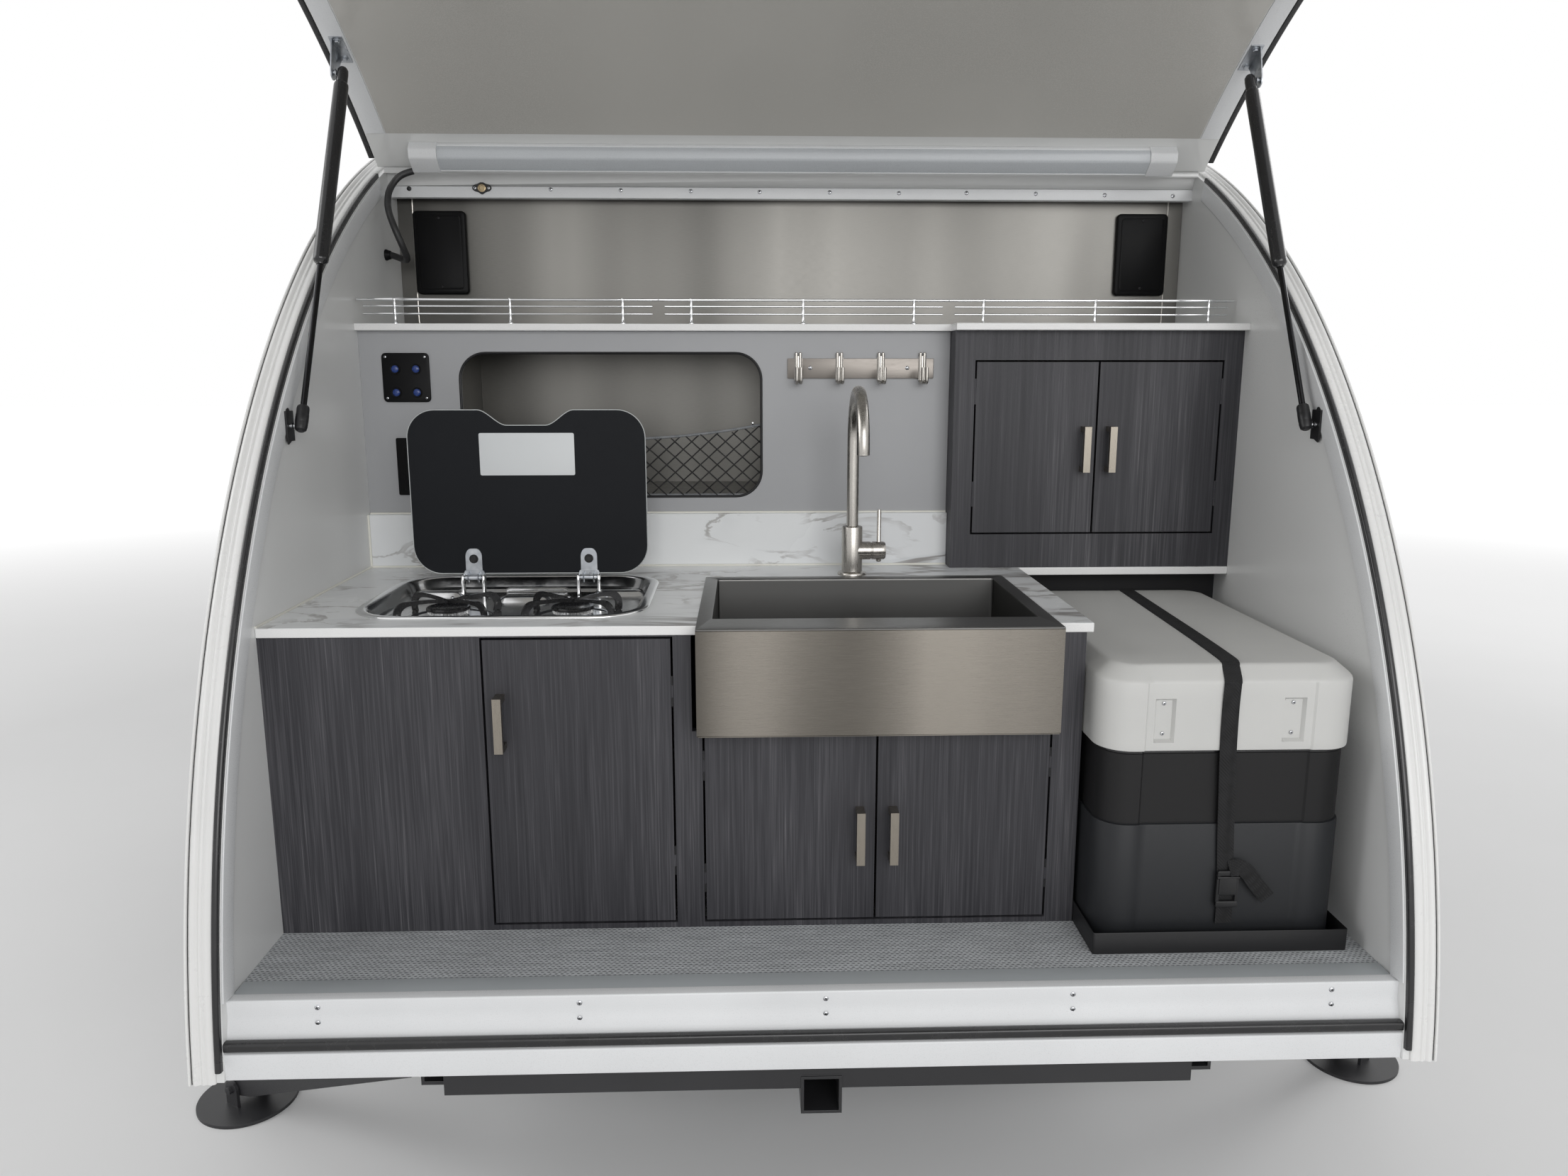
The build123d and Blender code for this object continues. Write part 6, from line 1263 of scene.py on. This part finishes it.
def cooler_ring(inset, corner, height, panel=2.6, grip=0.0):
    """Ring of the cooler at a height: rectangle with round corners whose front is set in by a panel depth
    between its creases, and by a grip depth at the two hand holds."""
    half = np.array([194.0 - inset, 305.0 - inset])
    arcs = np.roll(rounded(*2 * half, corner, 10), 10, axis=0) + COOLER
    in_panel = (FRONT_X > 483) & (FRONT_X < 733)
    in_grip = ((FRONT_X > 497) & (FRONT_X < 524)) | ((FRONT_X > 689) & (FRONT_X < 719))
    steps = 0.3 * np.arange(len(FRONT_X))
    reach = half[0] - corner - 0.3
    front_x = np.clip(FRONT_X, COOLER[0] - reach + steps, COOLER[0] + reach - steps[::-1])
    front = np.column_stack([front_x, COOLER[1] - half[1] + panel * in_panel + grip * in_grip])
    return np.concatenate([arcs, front]), height


def cooler_shell(rows):
    """Closed shell through cooler rings."""
    return nested([cooler_ring(*row) for row in rows])


body_rows = [(60, 20, 3.2, 0, 0), (12, 40, 3.2, 0, 0), (5, 46, 6, 2, 0), (3, 48, 14, 2.6, 0),
             (3, 48, 197.4, 2.6, 0), (4.2, 47, 199.2, 2.6, 0), (7.2, 45, 199.8, 2.6, 0),
             (7.2, 45, 201.2, 2.6, 0), (6.2, 45, 202, 2.6, 0), (6.2, 45, 310, 2.6, 0), (8.5, 43, 312, 2.6, 0),
             (8.5, 43, 316, 2.6, 0), (60, 20, 316, 0, 0)]
lid_rows = [(60, 20, 315.6, 0, 0), (3, 47, 315.6, 2.6, 0), (0.6, 49, 317, 2.6, 0), (0, 50, 319.6, 2.6, 0),
            (0, 50, 329, 2.6, 0), (0, 50, 333, 2.6, 7), (0, 50, 393, 2.6, 7), (0, 50, 397, 2.6, 0),
            (0, 50, 419, 2.6, 0), (1.0, 49.5, 422.4, 2.6, 0), (3.6, 48.5, 425.6, 2.4, 0),
            (20.5, 38, 440.6, 1.6, 0), (23, 36, 442.8, 1.2, 0), (27, 34, 443.9, 0.6, 0), (34, 30, 444, 0, 0),
            (60, 20, 444, 0, 0)]
piece("cooler_body", cooler_shell(body_rows), "slate plastic", "cooler_body", smooth=38)
piece("cooler_lid", cooler_shell(lid_rows), "pale plastic", "cooler_lid", smooth=38)
piece("cooler_gasket", cooler_shell([(60, 20, 311.5, 0, 0), (7, 44, 311.5, 2.6, 0), (7, 44, 316.5, 2.6, 0),
                                     (60, 20, 316.5, 0, 0)]), "black rubber")
screw_row("grip_screws", [(x, -80.6, z) for x in (510, 704) for z in (341.5, 388)], radius=3.2)

# Tray under the cooler: a pan of thin sheet with folded lips
tray_rows = [(390, 634, 3, 0.2), (392, 636, 4, 1.0), (392, 636, 4, 34.2), (391.4, 635.4, 3.7, 35.0),
             (389.6, 633.6, 2.8, 35.0), (389, 633, 2.5, 34.2), (389, 633, 2.5, 4.0), (386, 630, 2, 3.0)]
piece("cooler_tray", nested([(rounded(wide, deep, corner, 4) + (612.0, 212.0), height)
                             for wide, deep, corner, height in tray_rows]), "black satin", "cooler_tray")


# Strap: webbing that comes up the front, over the crown and back along the lid, slightly aslant
def ribbon(line, side, wide, thick=1.8, across=5):
    """A flat strap: a line carried sideways by half its width each way, with two faces a thickness apart."""
    line, side = np.asarray(line, float), np.asarray(side, float)
    run = np.gradient(line, axis=0)
    run /= np.linalg.norm(run, axis=1, keepdims=True)
    side = side - (side * run).sum(axis=1, keepdims=True) * run
    side /= np.linalg.norm(side, axis=1, keepdims=True)
    out = np.cross(run, side)
    share = np.linspace(-0.5, 0.5, across)
    crown = 1.0 - 0.25 * (2 * share) ** 2
    flat = line[:, None] + wide * share[None, :, None] * side[:, None]
    rise = thick / 2 * crown[None, :, None] * out[:, None]
    return grid(np.concatenate([flat + rise, (flat - rise)[:, ::-1]], axis=1), around=True, ends=True)


strap_line = spline([(621, -88.4, 40), (620.4, -88.6, 90), (615, -88.6, 170), (610.5, -88.8, 260),
                     (607.8, -88.9, 318), (606.8, -89.2, 380), (607.4, -89.6, 415), (608.2, -87.6, 424),
                     (609.6, -79, 432.2), (611.4, -68, 440.6), (613, -60.5, 444.8), (617, -30, 445.4),
                     (625, 100, 445.4), (634, 300, 445.4), (642.6, 490, 445.4)], 8)
strap_side = np.tile([1.0, 0.06, 0.06], (len(strap_line), 1))
strap = piece("cooler_strap", ribbon(strap_line, strap_side, 26.0), "webbing", "cooler_strap", smooth=60)
tail_line = spline([(622, -93.5, 131), (636, -98, 135), (648, -99, 127), (664, -97, 106), (684, -94, 83)], 8)
tail_side = np.tile([0.62, 0.0, 0.78], (len(tail_line), 1))
strap_end = piece("strap_end", ribbon(tail_line, tail_side, 24.0), "webbing", smooth=60)
buckle = [placed(plate(*sizes), place) for sizes, place in (
    ((34, 10, 2.5, 6.0, 1.2), (621, -90.2, 74)), ((34, 8, 2.5, 6.0, 1.2), (621, -90.2, 124)),
    ((5, 56, 2, 5.0, 1.0), (606.5, -90.2, 99)), ((5, 56, 2, 5.0, 1.0), (635.5, -90.2, 99)),
    ((28, 30, 3, 7.0, 1.6), (621, -90.0, 104)))]
cam_pin = tube([(604, -95, 117), (638, -95, 117)], 2.2, 14)
piece("strap_buckle", joined(*buckle, cam_pin), "black satin")

# Gas struts: the tube hangs from the hatch, the dark rod with its socket stands on the wall's ball
WALL_PIN, HATCH_PIN = np.array([178.0, 783.0]), opened(rear_line(32.92, 10.0 - 53.6)[0])
STRUT_X, BRACKET_X = 815.0, 834.5
STRUT_SPAN = float(np.linalg.norm(HATCH_PIN - WALL_PIN))
STRUT_RUN = (HATCH_PIN - WALL_PIN) / STRUT_SPAN


def on_strut(form, x):
    """A form drawn up the z axis from the wall pin, set along the strut at an x."""
    up = np.array([0.0, *STRUT_RUN])
    return form[0] @ np.stack([X, np.cross(up, X), up]) + (x, *WALL_PIN), form[1]


tube_stop = STRUT_SPAN - 22.0
tube_start = tube_stop - 366.0
tube_form = turned([(0.01, tube_start), (6.0, tube_start), (7.0, tube_start + 3), (10.0, tube_start + 5),
                    (12.0, tube_start + 8), (12.5, tube_start + 12), (12.5, tube_stop - 8),
                    (12.0, tube_stop - 4), (9.0, tube_stop), (8.4, tube_stop + 4), (8.0, STRUT_SPAN - 9),
                    (0.01, STRUT_SPAN - 8)], 36)
rod_form = turned([(0.01, 8), (5.0, 8), (5.0, tube_start + 6), (0.01, tube_start + 6)], 24)
socket = turned([(0.01, -9.6), (5.0, -9.4), (8.6, -6.6), (9.8, -1.0), (9.9, 30), (9.2, 33.4), (7.6, 35.0),
                 (6.2, 35.6), (0.01, 35.6)], 32)
groove = turned([(9.95, 6.0), (10.15, 6.6), (10.15, 19.4), (9.95, 20.0)], 32)
top_eye = turned([(0.01, STRUT_SPAN - 24), (8.6, STRUT_SPAN - 23), (9.6, STRUT_SPAN - 18),
                  (9.8, STRUT_SPAN - 4), (9.2, STRUT_SPAN + 4), (6.6, STRUT_SPAN + 8.6),
                  (0.01, STRUT_SPAN + 9.8)], 32)
ball = turned([(0.01, 0), (7.2, 0), (7.2, 2.4), (4.2, 3.0), (4.0, 4.4), (5.8, 5.4), (5.8, 7.4), (3.4, 8.4),
               (3.2, 10.5), (5.2, 12.0), (6.0, 14.6), (5.2, 17.2), (0.01, 18.6)], 26)
for side, name in SIDES:
    x = side * STRUT_X
    piece(f"strut_tube_{name}", on_strut(joined(tube_form, top_eye), x), "gloss black",
          f"strut_tube_{name}", smooth=40)
    piece(f"strut_rod_{name}", on_strut(rod_form, x), "rod black", f"strut_rod_{name}")
    piece(f"strut_socket_{name}", on_strut(joined(socket, groove), x), "black satin",
          body=BODY_OF[f"strut_rod_{name}"])

# Brackets: a zinc plate and ball under the hatch, a folded black plate and ball on each wall
wall_plate = slab(softened([(-11, -30), (4, -24), (12, -4), (12, 8), (0, 30), (-8, 26), (-12, 0)], 4), 2.0)
dressed("wall_brackets", 0.4)
piece("wall_balls", both(placed(ball, (-BRACKET_X, *WALL_PIN), Y)), "steel")
piece("wall_ball_plates", both(placed(wall_plate, (-BRACKET_X, *WALL_PIN), Y)), "black satin")
feet = opened(rear_line(np.array([31.92, 33.92]), 10.0)[0])
lean = (feet[0] + feet[1]) / 2 - HATCH_PIN
lean /= np.linalg.norm(lean)
square = np.array([-lean[1], lean[0]])


def by_pin(rows):
    """Points at distances square to and along the line from the hatch pin to the hatch, as (y, z)."""
    rows = np.asarray(rows, float)
    return HATCH_PIN + rows[:, :1] * square + rows[:, 1:] * lean


bracket_outline = softened(by_pin([(-11, -6), (-6, -13), (6, -13), (11, -6), (26, 52), (-26, 52)]),
                           [5, 5, 5, 5, 1, 1], 5)
foot_plate = section(by_pin([(-30, 52.4), (30, 52.4), (30, 49.8), (-30, 49.8)]), -836.0, -812.0)
bolt_places = [(-823.0, *place) for place in by_pin([(-20, 49.8), (20, 49.8)])]
foot_bolts = at_each(hex_head(5.0, 5.0), bolt_places, X, (0, *square))
hatch_ball = placed(ball, (-833.0, *HATCH_PIN), Y)
piece("hatch_brackets", both(joined(section(bracket_outline, -833.0, -830.6), foot_plate, hatch_ball,
                                    foot_bolts)), "zinc", "hatch_brackets", bevel=0.3, smooth=40)


# Wheels: tyre section with a cambered tread cut into blocks, and a rim with five spokes and lug nuts
WHEEL = (1014.5, 1150.0, -125.0)


def tyre_form():
    """Grid round the wheel: section radius from the bead to the tread, less the deeper of four grooves round
    the wheel and slanted cuts across it, each a ramp held between 0 and 1."""
    section_points = spline([(-85, 192), (-86, 203), (-96, 222), (-102.2, 244), (-102.5, 268), (-101, 296),
                             (-96, 318), (-86, 334), (-74, 340)], 4)
    tread_x = np.linspace(-70, 70, 57)
    crown = 344.6 - 0.0009 * tread_x**2
    wall = np.concatenate([section_points, np.column_stack([tread_x, crown]), section_points[::-1] * [-1, 1]])
    ring = np.concatenate([wall, [(85.0, 189.0), (-85.0, 189.0)]])
    turn = np.linspace(0, 2 * math.pi, 300, endpoint=False)
    x, radius = (np.tile(column, (300, 1)) for column in ring.T)
    tread = (np.abs(x) <= 86) & (radius > 332)
    wave = np.sin(60 * turn[:, None] + 0.06 * x * np.sign(x))
    lines = np.minimum.reduce([np.abs(x - place) for place in (-48.0, -17.0, 17.0, 48.0)])
    groove = np.clip((3.6 - lines) / 2.0, 0, 1)
    sipe = np.clip((wave - 0.62) / 0.2, 0, 1) * (np.abs(x) > 17)
    radius = radius - 6.5 * np.maximum(groove, sipe * 0.8) * tread
    points = np.stack([x, radius * np.cos(turn[:, None]), radius * np.sin(turn[:, None])], axis=-1)
    return grid(np.concatenate([points, points[:1]]), around=True)


def rim_form(side):
    """Barrel with flanges turned about the axle, hub, five tapered spokes with rounded edges, five nuts."""
    barrel = turned([(163, -94), (203, -94), (203, -88), (191, -84), (190, 84), (203, 88), (203, 95),
                     (195, 95), (186, 86), (172, 58), (168, 30), (163, -88)], 80, hollow=True)
    hub = turned([(19.4, 20), (70, 20), (70, 44), (66, 50), (44, 54), (40, 57.4), (37, 58), (34, 57.6),
                  (30, 56), (19.4, 56)], 60, hollow=True)
    cap = turned([(0.01, 56), (30, 56), (30.5, 60), (27, 64), (18, 66.4), (0.01, 67)], 40)
    parts = [barrel, hub, cap]
    spoke = softened([(52, -34), (120, -25), (172, -40), (178, -34), (178, 34), (172, 40), (120, 25),
                      (52, 34)], 8, 4)
    blade = moved(slab(spoke, 20.0, 3.0), 30.0 * Z)
    nut = hex_head(9.5, 14.0)
    for turn in np.radians(np.arange(5) * 72.0):
        parts += [spun(blade, turn), spun(moved(nut, (50.0, 0, 52.0)), turn + 0.63)]
    points, faces = joined(*parts)
    return points[:, [2, 0, 1]] * (side, 1.0, 1.0), faces


for side, name in SIDES:
    middle = np.array(WHEEL) * (side, 1, 1)
    piece(f"tyre_{name}", moved(tyre_form(), middle), "tyre rubber", f"tyre_{name}", smooth=45)
    piece(f"rim_{name}", moved(rim_form(side), middle), "alloy", f"rim_{name}", smooth=40)

# Outside pieces of the body, softened and smoothly shaded
for node, bevel in (("fenders", 0.8), ("chassis", 1.0), ("axle", 1.0), ("coupler", 1.5), ("tongue_jack", 0.6),
                    ("gas_cylinder", 0.0), ("roof", 0.0), ("door_left", 1.5), ("door_right", 1.5),
                    ("front_window", 0.8), ("floor", 0.5), ("stabiliser_left", 0.6),
                    ("stabiliser_right", 0.6)):
    dressed(node, bevel, smooth=32)
for node in ("wall_left", "wall_right"):
    dressed(node, 0.8, ("wall lining", lambda centre: np.abs(centre[:, 0]) < INNER + 0.3), 32)

# Tail lamps: a domed lens on a round base with a bead
lamp_line, lamp_normal = on_hatch(np.array([76.0]), 24.0)
base_form = turned([(0.01, 0), (58, 0), (58, 7), (56, 10.6), (53, 12), (50, 12.4), (50, 4), (0.01, 4)], 64)
lens_form = turned([(0.01, 8), (51.6, 8), (51, 16), (46, 21), (36, 24.4), (20, 26), (0.01, 26)], 64)
lamp_places = [(x, *lamp_line[0]) for x in (-700.0, 700.0)]
lamp_up = np.cross([0.0, *lamp_normal[0]], X)
piece("tail_lamp_lenses", at_each(lens_form, lamp_places, X, lamp_up), "lamp red", "tail_lamps", smooth=50)
piece("tail_lamp_bases", at_each(base_form, lamp_places, X, lamp_up), "black plastic", body="hatch",
      smooth=50)


# Rubber round each side window and the door gap, a latch handle and a lock
def bead_round(width, tall, corner, middle, x, radius):
    """A round bead along a rectangle with round corners in a side wall."""
    ring = rounded(width, tall, corner, 10)
    return tube(in_x(ring + middle, x), radius, 8, closed=True, side=X)


LEVER_X = OUTER + 11.0
for side, name in SIDES:
    door_body = BODY_OF[f"door_{name}"]
    window_bead = bead_round(436, 426, 62, (1985, 785), side * OUTER, 6.0)
    inner_bead = bead_round(426, 416, 58, (1985, 785), side * 871.0, 4.0)
    piece(f"window_rubber_{name}", joined(window_bead, inner_bead), "black rubber", body=door_body, smooth=60)
    dressed(f"door_glass_{name}", 0.6)
    piece(f"door_seal_{name}", bead_round(686, 1096, 88, (1985, 575), side * 879.0, 2.2), "black rubber",
          smooth=60)
    cup = placed(plate(104, 74, 14, 5.0, 2.0), (side * OUTER, 1720, 490), side * Y)
    paddle = placed(plate(84, 24, 8, 7.0, 2.2), (side * LEVER_X, 1722, 500), side * Y)
    lock = placed(turned([(0.01, 0), (9, 0), (9, 3), (7.6, 4.4), (3, 4.8), (0.01, 4.8)], 26),
                  (side * LEVER_X, 1748, 470), side * Y)
    piece(f"door_handle_{name}", joined(cup, paddle), "black plastic", body=door_body)
    piece(f"door_lock_{name}", lock, "chrome", body=door_body)
